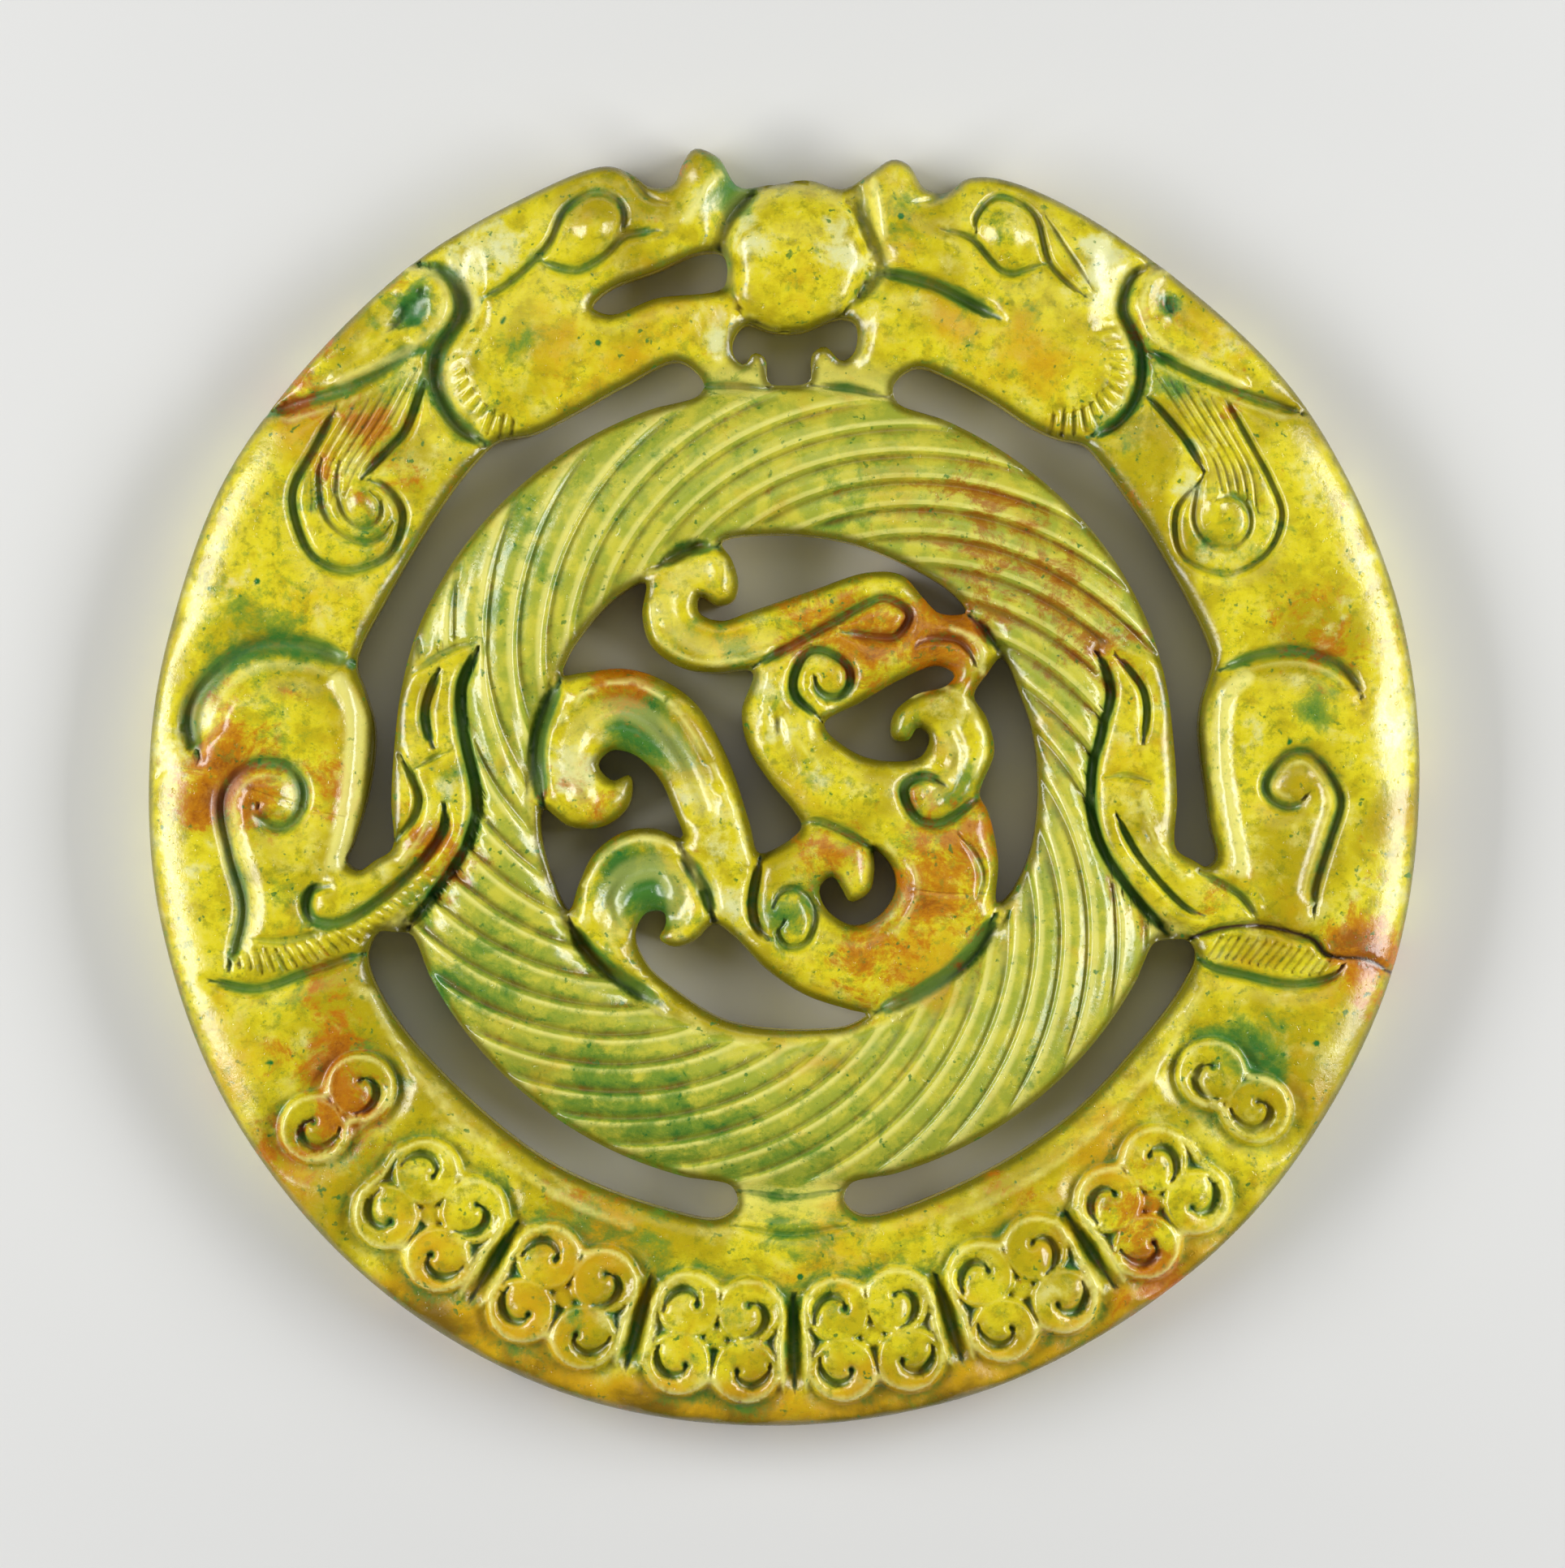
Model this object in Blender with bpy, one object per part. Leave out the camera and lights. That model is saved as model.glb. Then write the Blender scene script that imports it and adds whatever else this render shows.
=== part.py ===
"""Openwork jade disc: dragons and a pearl over scrolls, a twisted rope ring, a phoenix in the middle.

The disc lies on its flat back. X is to the right, Y towards the pearl, Z out of the carved face.
The pattern is drawn in millimetres on a disc of the nominal radii in PATTERN_RADII. The function
place() carries it to the radii that the sizes below give, so every form follows the sizes.
"""
import math

import bmesh
import bpy
import numpy as np
from mathutils import Vector
from mathutils.geometry import delaunay_2d_cdt

# Sizes of the disc, in metres
CENTRE_RADIUS = 0.0199
ROPE_WIDTH = 0.0115
SLOT_WIDTH = 0.0034
BAND_WIDTH = 0.0154
THICKNESS = 0.0070
DISC_RADIUS = CENTRE_RADIUS + ROPE_WIDTH + SLOT_WIDTH + BAND_WIDTH

# Heights that the carved face loses from the full thickness, in metres
BAND_DROP = 0.0008
PHOENIX_DROP = 0.0005
ROPE_EDGE_DROP = 0.0026
RIM_ROUND_WIDTH = 0.0034
RIM_ROUND_DROP = 0.0021
SLOT_ROUND_WIDTH = 0.0012
SLOT_ROUND_DROP = 0.0009
CENTRE_ROUND_WIDTH = 0.0017
CENTRE_ROUND_DROP = 0.0016

# Cuts of the carving, in metres
CUT_DEPTH = 0.0011
CUT_WIDTH = 0.0010
SCROLL_DEPTH = 0.0009
SCROLL_RADIUS = 0.0023
STRAND_DEPTH = 0.0008
PEARL_RADIUS = 0.0060
PEARL_RISE = 0.0012

# Repeats
STRAND_COUNT = 33
STRAND_SWEEP = math.radians(51.3)
SCROLL_BLOCKS = 6
SCROLL_PITCH = math.radians(16.25)
SCROLL_MIDDLE = math.radians(271.0)

# Fineness of the faceted solid, in millimetres
EDGE_STEP = 1.55
MIDDLE_EDGE_STEP = 1.15
CUT_STEP = 1.25
SCROLL_STEP = 0.8
FILL_STEP = 2.8
POINT_GAP = 0.42

METRE = 1000.0
# Nominal radii of the pattern: middle, rope inside, rope outside, band inside, rim
PATTERN_RADII = (0.0, 19.9, 31.4, 34.8, 50.2)

# How the strands crowd and how their sweep swings round the ring: amount, phase in degrees
FIRST_STRAND = -1.19
CROWDING = ((0.86, -8.8), (0.28, 156.0))
SWEEP_SWING = ((7.1, 36.5), (4.8, 160.0))
# Where a strand's ridge stands between its groove and the next one, as a share
STRAND_RIDGE = 0.3
# How full the rope's dome is; 2 would be a plain round bow
ROPE_FULLNESS = 2.3

# Width of a cut's hollow and of its soft shoulders, and the shoulders' share of the depth
CUT_CORE = 0.62
CUT_SHOULDER = 2.2
SHOULDER_DEPTH = 0.3
# The straight cuts between the scroll blocks run between these radii
SEPARATOR_RADII = (40.6, 43.5, 46.8)
# A scroll's cut winds in from the first to the second share of its radius
SCROLL_WINDING = (0.86, 0.44)

# The paws dip the slots' rope side by this much, this far from the pearl in degrees, over this spread
PAW_DIP = 0.8
PAW_ASIDE = 86.0
PAW_SPREAD = 16.0
# The slots' rope side: gap from the rope, degrees between its points, degrees past the corners
SLOT_GAP = 0.1
SLOT_SIDE_STEP = 9.0
SLOT_CORNER = 1.2
# How far the paws are sought, and how wide their edge fades
PAW_REACH = 6.0
PAW_EDGE = 0.8
# The bird's ground begins this far outside the middle and fades over this width
BIRD_MARGIN = 0.5
BIRD_FADE = 0.9

# The rim as angle in degrees and radius: nearly a circle, nicked on both sides of each horn
RIM = (
    (149, 50.2), (127, 50.4), (113, 50.7), (106, 50.8), (104, 49.7), (102.6, 48.4), (100.4, 48.2),
    (99.3, 49.6), (98, 50.7), (96, 49.8), (94.4, 47.4), (91.6, 47.4), (87.7, 47.8), (84.4, 47.3),
    (82.1, 48.7), (80.2, 50.1), (78.7, 49.9), (76.9, 48.4), (74.9, 48.4), (73.2, 50.0), (70, 50.8),
    (60, 50.7), (41, 50.7), (29, 50.5), (15, 50.3), (0, 49.9), (-17, 49.9), (-35, 49.7), (-50, 49.7),
    (-70, 49.9), (-90, 50.1), (-110, 50.6), (-130, 50.6), (-150, 50.4), (-168, 50.1), (177, 49.9),
    (165, 49.8),
)

# Outer edges of the four slots beside the rope, as angle and radius, and their rounded ends
LEFT_UPPER_SLOT = (
    (101.2, 32.4), (103.9, 34.5), (111.7, 34.0), (118.7, 33.7), (125.5, 34.1), (129.6, 35.3), (133.2, 35.3),
    (140, 34.9), (153.6, 34.6), (163.7, 35.0), (167, 33.8), (171.7, 32.5), (180.2, 32.6), (187.2, 34.1),
    (189.5, 34.9), (191, 34.0), (190, 32.5),
)
RIGHT_UPPER_SLOT = (
    (-10, 32.5), (-10.6, 33.8), (-9.2, 34.4), (-5.1, 33.6), (-0.5, 33.1), (4, 32.8), (8.4, 32.9),
    (11.8, 33.5), (14.3, 34.4), (17, 35.2), (32.5, 35.0), (39.2, 35.2), (46, 35.7), (48.8, 35.8),
    (51.7, 34.9), (55, 34.4),
    (62, 34.5), (68, 34.7), (72.6, 34.6), (74.8, 32.8),
)
LEFT_LOWER_SLOT = (
    (200.3, 32.6), (199.6, 33.8), (202, 35.3), (208.4, 35.6), (220, 35.0), (238, 34.7), (255, 34.4),
    (261.5, 34.2), (263.6, 32.9),
)
RIGHT_LOWER_SLOT = (
    (278.3, 32.9), (280.5, 34.2), (293.5, 34.1), (310, 34.2), (326, 34.5), (334, 35.0), (338, 34.9),
    (339.3, 33.9), (338.5, 32.5),
)

# Openings of the middle and under the pearl, as closed curves through points
MIDDLE_OPENINGS = (
    # between the crest and the rope
    ((-4.9, 19.3), (0, 19.9), (5.2, 19.2), (9.8, 17.4), (13.2, 15.3), (14.3, 13.8), (12.2, 13.7), (11, 14.8),
     (9.2, 16.7), (6.5, 16.9), (2.2, 15.5), (-2.5, 13.9), (-5, 13.1), (-6.7, 13.8), (-6.6, 15), (-5.2, 14.3),
     (-4, 14.7), (-3.6, 16.1), (-4.1, 17.9)),
    # between the crest, the tail and the neck
    ((-10.9, 16.1), (-13, 15.1), (-15.2, 12.9), (-16.9, 10.5), (-17.4, 8.9), (-15.6, 9.1), (-12.5, 9.35),
     (-9.8, 8.6), (-7, 6.7), (-4.5, 2.5), (-2.7, -2.8), (-2, -5.1), (-0.6, -4.7), (1.35, -3.1), (0.8, -1.9),
     (-1.1, 0.4), (-2.8, 3.1), (-3.35, 6), (-2.5, 9.1), (-5.5, 9), (-8.2, 9.5), (-10.5, 11.2),
     (-11.15, 13.6)),
    # between the tail and the leaf
    ((-14.6, 1.8), (-13.6, 2.9), (-11.8, 2.6), (-9.9, 0.85), (-8.7, -1.7), (-8, -3.9), (-10.1, -3.2),
     (-12.5, -3.4), (-14.9, -5.1), (-16.1, -7.5), (-16.9, -9.6), (-18.15, -7.2), (-19.1, -3.6),
     (-18.9, -1.7), (-16.7, -3.1), (-14.1, -3), (-12.15, -1.3), (-12.1, 1), (-13.5, 0.6)),
    # under the leaf and the body
    ((-5.5, -10.7), (-3.9, -11.7), (-1.5, -14.15), (1.65, -16.25), (5.1, -17.4), (6.5, -17.8), (5, -18.7),
     (2.15, -19), (-1.8, -18.85), (-5, -18.1), (-8.4, -16), (-10.7, -14), (-11.7, -11.6), (-10.85, -9.85),
     (-9.5, -9.75), (-9.3, -10.7), (-9.8, -11.8), (-8.6, -12.5), (-7, -12)),
    # the open beak
    ((3.15, 5), (6, 6.7), (9.1, 8.5), (12, 9.6), (13.4, 8.9), (12.7, 8), (10.3, 7.3), (8.6, 5.8), (8.5, 3.9),
     (9.7, 3.7), (10.5, 4.7), (11.4, 4.1), (10.8, 2.5), (8.3, 2.1), (5.5, 2.8)),
    # behind the breast
    ((17.1, 10.2), (18.6, 7.2), (19.7, 3.5), (19.9, -1.8), (19.1, -5.7), (17.5, -8.6), (16.7, -9),
     (16.8, -5.7), (16, -1.85), (15.35, -0.5), (16.5, 2.85), (15.85, 5.6), (14.9, 7.2), (15.9, 8.9)),
    # inside the curled belly
    ((7.1, -4.9), (8.5, -6.3), (8.7, -8.2), (7.4, -10.1), (5.4, -10.8), (3.3, -9.5), (2.8, -7.8), (3.8, -7),
     (4.5, -7.9), (5.2, -8.95), (6.7, -8.15), (7.1, -6.4)),
)
BAND_OPENINGS = (
    # under the pearl, over the dragons' crossed feet
    ((-4, 35.2), (-3, 36.4), (-1, 35.8), (1.3, 35.8), (4.4, 36.9), (5.6, 36.5), (5.5, 34.2), (4.5, 33.5),
     (3.2, 34.6), (2.2, 34), (1.95, 31.9), (0, 31.6), (-1.2, 31.8), (-1.5, 33.7), (-2.4, 34.1), (-3.1, 33.2),
     (-3.9, 33.8)),
    # the left dragon's mouth
    ((-15.1, 37.8), (-13.7, 37.1), (-10, 38.4), (-4.8, 39.3), (-4.8, 41.9), (-6.7, 42), (-10, 40.6),
     (-13.7, 39.2)),
)

# Cuts as open curves through points: (points, width factor, depth factor)
DRAGON_CUTS = (
    # left dragon: pearl side, brow, lower lid, ear, jaw, mane and its curl
    (((-2.5, 46.8), (-4.2, 44.5), (-4.8, 42), (-4.6, 40), (-3.8, 38.3)), 1.2, 1.2),
    (((-23.6, 38.4), (-19.1, 41.7), (-17.2, 45.2), (-14.6, 46.6), (-12.7, 45.3), (-13.4, 43.1)), 0.8, 0.7),
    (((-19.1, 41.3), (-16.2, 40.6), (-13.8, 42.3), (-9.9, 43.7)), 0.9, 0.9),
    (((-28.6, 41.1), (-26.1, 39.8), (-25.4, 37.7), (-26.6, 35.4), (-27.5, 33), (-27, 30.5), (-25.4, 28.2),
      (-23.2, 27)), 1.1, 1.2),
    (((-27.9, 34.3), (-29.7, 34.1), (-32.2, 32.3), (-36.7, 30.5), (-40.3, 29.5)), 0.9, 0.9),
    (((-35.1, 29.8), (-37.8, 25.1), (-38.5, 21.9), (-37.2, 18.5), (-34, 17), (-31, 18.3), (-29.9, 21.2),
      (-32.6, 24.1)), 0.9, 0.8),
    (((-36.3, 25.8), (-36.3, 22.2), (-34.6, 19.7), (-31.8, 19.5)), 0.8, 0.7),
    (((-27.9, 32.9), (-29.7, 28), (-32, 25.5), (-33.1, 24.2)), 1.1, 1.1),
    # right dragon: the same forms, mirrored by eye
    (((6, 46.9), (6.5, 43.8), (7.6, 41), (6.7, 39.5), (4.9, 37.6)), 1.2, 1.2),
    (((7.3, 40.4), (11.6, 39.5), (16.8, 36.8)), 1.2, 1.9),
    (((12.3, 43.8), (15.3, 42.5), (17, 40.6), (18.9, 40.6), (20.5, 41.1)), 0.9, 0.9),
    (((15.1, 43.4), (15.2, 45.1), (17, 46.4), (19.2, 45.4), (20.8, 41.1), (23.6, 38.5)), 0.8, 0.7),
    (((28.8, 41.2), (26.9, 39.5), (26.6, 37.5), (28, 33.9), (27.8, 31), (26.3, 28.7),
      (23.9, 27.5)), 1.1, 1.2),
    (((28, 34.3), (31.3, 32.8), (35.6, 31), (40.8, 29.3)), 0.9, 0.9),
    (((28.2, 30.9), (30.6, 28.3), (32.6, 25.8), (32.4, 23.9), (30.6, 20.3), (32, 17.6), (34.9, 16.8),
      (37.9, 18.5), (39, 21.3), (38.1, 24), (36.1, 27.1), (34.2, 31)), 1.0, 0.9),
)
LIMB_CUTS = (
    # left haunch, its spiral, cuff, arm and paw
    (((-33.9, 9.7), (-37.5, 11.1), (-41.4, 11.1), (-45, 8.6), (-46.6, 5.1), (-45.9, 2.4)), 1.0, 1.1),
    (((-43.5, -14.1), (-42.4, -9.5), (-43.9, -3.3), (-42.9, 1.1), (-40.2, 2), (-37.9, 0.5),
      (-38.4, -2.5)), 0.9, 0.8),
    (((-45, -15.1), (-41.4, -15.7), (-37.5, -14.5), (-33.3, -13)), 1.0, 1.1),
    (((-35.6, -7.7), (-37.3, -8.6), (-36.9, -10.3), (-34.1, -10.3), (-30.8, -8), (-27.5, -4.7),
      (-26.6, -1.4)), 1.0, 1.2),
    (((-23.9, 10.9), (-25.3, 8), (-25.2, 4.5), (-24.1, -1.2), (-25.2, -5.1), (-27.7, -8.7),
      (-29.4, -10.8)), 1.1, 1.2),
    (((-27, 9.35), (-28.1, 6.3), (-27.5, 3.2)), 0.9, 1.0),
    (((-30, 2.5), (-28.6, -0.5), (-30.2, -4)), 0.9, 1.0),
    # right haunch, its spiral, cuff, arm and paw
    (((34.1, 9.2), (37.4, 10.5), (40.5, 10.7), (43.4, 9.7), (45.2, 7)), 1.0, 1.1),
    (((41.5, -9.8), (42.1, -6.1), (43.6, -1.1), (42.5, 1.5), (40.3, 2.8), (37.9, 1), (39, -1.4),
      (40.9, -0.6)), 0.9, 0.8),
    (((31.9, -11.8), (35.4, -10.8), (39.9, -11.6), (43.6, -13.4), (47.3, -14.4)), 0.9, 0.9),
    (((32.3, -13.2), (35.8, -14.6), (39.9, -15.4), (43.8, -13.9)), 1.0, 1.1),
    (((24.5, 10.6), (25.6, 7.5), (24.5, 3), (24, -0.7), (25.5, -5.9), (28.2, -9.1),
      (29.8, -11.1)), 1.1, 1.2),
    (((25.9, 10.4), (27.8, 8.3), (28.4, 6)), 0.9, 1.0),
    (((26, -2.1), (28.2, -5.9), (32.9, -10)), 0.9, 1.0),
)
PHOENIX_CUTS = (
    # where the bird leaves the rope: crest, tail, leaf, body and beak
    (((-9.9, 17.3), (-7.6, 18.7), (-5.3, 18.9)), 1.3, 1.3),
    (((-17.6, 8.3), (-19.3, 3.3), (-19, -1.3)), 1.3, 1.3),
    (((-16.8, -10.6), (-14.85, -13.4), (-12.5, -15.1), (-9.6, -17)), 1.3, 1.5),
    (((7.2, -17.6), (11.1, -15.7), (14.5, -13.1), (16.6, -9.9)), 1.3, 1.3),
    (((14.6, 13.4), (16.8, 10.8)), 1.1, 0.9),
    # leaf from tail, eye, cheek, breast and belly
    (((-8.2, -4.6), (-6.3, -7.8), (-5.6, -10.2)), 1.3, 1.4),
    (((-2, 9.7), (3.7, 12.85), (7.4, 14.8), (9.8, 13.6), (8.8, 11.9), (4.6, 12.2)), 1.0, 1.1),
    (((2.9, 5.6), (0.7, 8.4), (2.9, 10.8), (5.1, 8.8), (3.4, 7.1)), 1.0, 1.1),
    (((10.4, 11.2), (12.6, 11.8), (14.9, 9.8)), 0.9, 0.8),
    (((12.6, 0.2), (9.5, 0.2), (10.6, -2.5), (13.4, -2.1), (15.1, -0.8)), 1.0, 1.1),
    (((1.6, -2.8), (4, -3), (6.9, -4.7)), 1.0, 1.0),
    (((-1.9, -5.4), (-2.5, -9.2), (-1.2, -11.85)), 1.0, 1.2),
)
TAB_CUTS = (
    (((-3, -31.95), (0.5, -32), (4, -31.95)), 1.1, 0.8),
    (((-2.2, -34.9), (0.8, -35.1), (3.8, -34.9)), 1.1, 0.8),
    (((-6.2, 31.5), (-1.6, 31.4)), 1.1, 0.8),
    (((2.4, 31.4), (7.6, 30.9)), 1.1, 0.8),
)

PEARL_CENTRE = (0.8, 41.7)

# Paws that lie over the rope: centre lines with half widths
PAWS = (
    ((-25.4, 10.4, 0.9), (-27.4, 8, 2.2), (-28, 4.5, 2.9), (-27.8, 0, 3.5), (-28.4, -3.5, 3.4),
     (-31, -7, 3.1), (-35, -9.6, 2.4)),
    ((25.8, 10.2, 1.1), (27.9, 8, 2.5), (28.1, 4.5, 3.2), (27.7, 0, 3.5), (28.6, -4, 3.3), (31, -7.4, 3.1),
     (35, -9, 2.4)),
)
# Swelling parts of the band: centre, radius across, rise
SWELLS = (
    ((-41.5, 4.5), 8.0, 0.7), ((-39.5, -4.5), 7.0, 0.5), ((41.5, 4.5), 8.0, 0.7), ((39.5, -4.5), 7.0, 0.5),
    ((-33.2, 22.2), 4.0, 0.6), ((34.2, 21.6), 4.2, 0.6), ((-14.8, 43.8), 1.6, 0.7), ((17.4, 43.5), 1.7, 0.7),
    ((-20, 33.5), 7.0, 0.5), ((20.5, 34), 7.0, 0.5),
)

# The four curls of a scroll block, from its middle line: angle aside, radius, mouth angle, turn in degrees
SCROLL_CURLS = (
    (-3.3, 41.2, 222, -205), (3.3, 41.2, 242, 215), (-3.3, 45.7, 122, 215), (3.3, 45.7, 42, -205),
)
# The two-curl blocks that end the row on each side
END_CURLS = (
    (-33.2, -23.5, 230, 220), (-36.8, -26.7, 35, -290), (33.5, -22.4, 310, -220), (37.0, -25.2, 145, 290),
)


def place(points):
    """Carry pattern points to the disc's own radii, in millimetres."""
    flat = np.asarray(points, float)[:, :2]
    radius = np.hypot(flat[:, 0], flat[:, 1])
    widths = (CENTRE_RADIUS, ROPE_WIDTH, SLOT_WIDTH, BAND_WIDTH)
    real = np.concatenate(([0.0], np.cumsum(widths))) * METRE
    outside = real[-1] / PATTERN_RADII[-1]
    moved = np.interp(radius, PATTERN_RADII, real) + np.maximum(radius - PATTERN_RADII[-1], 0.0) * outside
    return flat * (moved / np.maximum(radius, 1e-9))[:, None]


def polar(pairs):
    """Points from angles in degrees and radii."""
    pairs = np.asarray(pairs, float)
    angle = np.radians(pairs[:, 0])
    return np.stack((pairs[:, 1] * np.cos(angle), pairs[:, 1] * np.sin(angle)), axis=1)


def curve(points, closed=False, pieces=10):
    """A centripetal Catmull-Rom curve through the points, finely divided."""
    knots = np.asarray(points, float)
    if closed:
        knots = np.vstack((knots[-1], knots, knots[0], knots[1]))
    else:
        knots = np.vstack((2 * knots[0] - knots[1], knots, 2 * knots[-1] - knots[-2]))
    share = np.arange(pieces)[:, None] / pieces
    spans = []
    for first, start, end, last in zip(knots[:-3], knots[1:-2], knots[2:-1], knots[3:]):
        gaps = [math.sqrt(max(np.linalg.norm(b[:2] - a[:2]), 1e-6))
                for a, b in ((first, start), (start, end), (end, last))]
        slope_in = gaps[1] * ((start - first) / gaps[0] - (end - first) / (gaps[0] + gaps[1])
                              + (end - start) / gaps[1])
        slope_out = gaps[1] * ((end - start) / gaps[1] - (last - start) / (gaps[1] + gaps[2])
                               + (last - end) / gaps[2])
        cube = 2 * start - 2 * end + slope_in + slope_out
        square = -3 * start + 3 * end - 2 * slope_in - slope_out
        spans.append(((cube * share + square) * share + slope_in) * share + start)
    if not closed:
        spans.append(knots[-2][None, :])
    return np.vstack(spans)


def spaced(line, step, closed=False):
    """The line divided again into equal steps, at least three."""
    if closed:
        line = np.vstack((line, line[:1]))
    run = np.concatenate(([0.0], np.cumsum(np.hypot(*np.diff(line[:, :2], axis=0).T))))
    count = max(3, round(run[-1] / step))
    stops = np.linspace(0.0, run[-1], count + 1)
    if closed:
        stops = stops[:-1]
    return np.stack([np.interp(stops, run, column) for column in line.T], axis=1)


def slot(edge):
    """A slot's outline: its outer edge as given, closed by the rope's side, a little lower at the paws."""
    angles = [edge[0][0], edge[-1][0]]
    steps = max(2, round(abs(angles[1] - angles[0]) / SLOT_SIDE_STEP))
    side = np.linspace(angles[1], angles[0], steps + 2)
    turn = math.copysign(SLOT_CORNER, angles[1] - angles[0])
    side[0] -= turn
    side[-1] += turn
    paw = np.exp(-((np.abs(90 - side) - PAW_ASIDE) / PAW_SPREAD) ** 2)
    rope_side = np.stack((side, PATTERN_RADII[2] + SLOT_GAP - PAW_DIP * paw), axis=1)
    return curve(np.vstack((polar(edge), polar(rope_side))), closed=True)


def scroll_curl(centre, mouth, turn):
    """One scroll's cut: it enters at the mouth angle and winds in towards the knob."""
    share = np.linspace(0.0, 1.0, 14)
    angle = np.radians(mouth + turn * share)
    radius = SCROLL_RADIUS * METRE * np.interp(share, (0.0, 1.0), SCROLL_WINDING)
    return np.stack((centre[0] + radius * np.cos(angle), centre[1] + radius * np.sin(angle)), axis=1)


def scroll_curls():
    """Every curl as (centre, mouth angle, turn): four in each block, then the pairs at the row's ends."""
    curls = []
    for block in range(SCROLL_BLOCKS):
        middle = math.degrees(SCROLL_MIDDLE + (block - (SCROLL_BLOCKS - 1) / 2) * SCROLL_PITCH)
        for aside, radius, mouth, turn in SCROLL_CURLS:
            centre = place(polar([(middle + aside, radius)]))[0]
            curls.append((centre, mouth + middle - 270.0, turn))
    for across, up, mouth, turn in END_CURLS:
        curls.append((place([(across, up)])[0], mouth, turn))
    return curls


def scroll_cuts():
    """All scrolls of the band and the straight cuts between their blocks."""
    depth = SCROLL_DEPTH / CUT_DEPTH
    cuts = [(scroll_curl(*curl), 0.9, depth, SCROLL_STEP) for curl in scroll_curls()]
    for gap in range(1, SCROLL_BLOCKS):
        angle = math.degrees(SCROLL_MIDDLE + (gap - SCROLL_BLOCKS / 2) * SCROLL_PITCH)
        line = place(polar([(angle, radius) for radius in SEPARATOR_RADII]))
        cuts.append((line, 1.1, 1.1, CUT_STEP))
    return cuts


def carved_cuts():
    """Every cut as (line, width, depth, step between its points), in millimetres."""
    cuts = []
    for group in (DRAGON_CUTS, LIMB_CUTS, PHOENIX_CUTS, TAB_CUTS):
        for points, width, depth in group:
            cuts.append((place(curve(points)), width, depth, CUT_STEP))
    cuts.extend(scroll_cuts())
    wide = CUT_WIDTH * METRE
    low = CUT_DEPTH * METRE
    return [(line, width * wide, depth * low, step) for line, width, depth, step in cuts]


def openings():
    """Every opening as (outline in millimetres, whether it lies in the middle)."""
    holes = [(place(slot(edge)), False)
             for edge in (LEFT_UPPER_SLOT, RIGHT_UPPER_SLOT, LEFT_LOWER_SLOT, RIGHT_LOWER_SLOT)]
    holes += [(place(curve(points, closed=True)), False) for points in BAND_OPENINGS]
    holes += [(place(curve(points, closed=True)), True) for points in MIDDLE_OPENINGS]
    return holes


def nearest(points, line, reach, chunk=16):
    """Distance from each point to the line, up to reach, and the line's columns at the nearest spot."""
    best = np.full(len(points), float(reach))
    found = np.zeros((len(points), line.shape[1]))
    for start in range(0, len(line) - 1, chunk):
        piece = line[start:start + chunk + 1]
        low = piece[:, :2].min(axis=0) - reach
        high = piece[:, :2].max(axis=0) + reach
        near = np.nonzero(np.all((points > low) & (points < high), axis=1))[0]
        if not len(near):
            continue
        step = piece[1:, :2] - piece[:-1, :2]
        away = points[near][:, None, :] - piece[None, :-1, :2]
        share = np.clip((away * step).sum(axis=2) / np.maximum((step ** 2).sum(axis=1), 1e-12), 0.0, 1.0)
        distance = np.linalg.norm(away - share[:, :, None] * step, axis=2)
        pick = distance.argmin(axis=1)
        row = np.arange(len(near))
        closer = distance[row, pick] < best[near]
        best[near[closer]] = distance[row, pick][closer]
        blend = share[row, pick][:, None]
        value = piece[:-1][pick] * (1 - blend) + piece[1:][pick] * blend
        found[near[closer]] = value[closer]
    return best, found


def counter_clockwise(line):
    """The closed line turned so that it runs counter-clockwise."""
    area = np.sum(line[:, 0] * np.roll(line[:, 1], -1) - line[:, 1] * np.roll(line[:, 0], -1))
    return line if area > 0 else line[::-1]


def closed_line(line):
    return np.vstack((line, line[:1]))


def smooth(value):
    """Zero to one with soft ends."""
    value = np.clip(value, 0.0, 1.0)
    return value * value * (3 - 2 * value)


def round_over(distance, width, drop):
    """How far a quarter-round edge lies under its face, by the distance from the edge."""
    share = np.clip(distance / width, 0.0, 1.0)
    return drop * (1 - np.sqrt(1 - (1 - share) ** 2))


def swing(angle, parts):
    """A slow change round the ring, as a sum of one wave and two."""
    return sum(amount * np.cos(turns * angle - math.radians(phase))
               for turns, (amount, phase) in enumerate(parts, start=1))


def strand_number(angle, share):
    """The strand at an angle and a share of the way in across the rope; whole numbers are grooves."""
    guess = angle - STRAND_SWEEP * share
    start = angle - (STRAND_SWEEP + np.radians(swing(guess, SWEEP_SWING))) * share
    return STRAND_COUNT * start / (2 * math.pi) + FIRST_STRAND + swing(start, CROWDING)


def rope_share(points):
    """Share of the way across the rope, 0 at its outer edge and 1 at its inner one."""
    radius = np.hypot(points[:, 0], points[:, 1])
    inner = CENTRE_RADIUS * METRE
    return (inner + ROPE_WIDTH * METRE - radius) / (ROPE_WIDTH * METRE)


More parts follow.
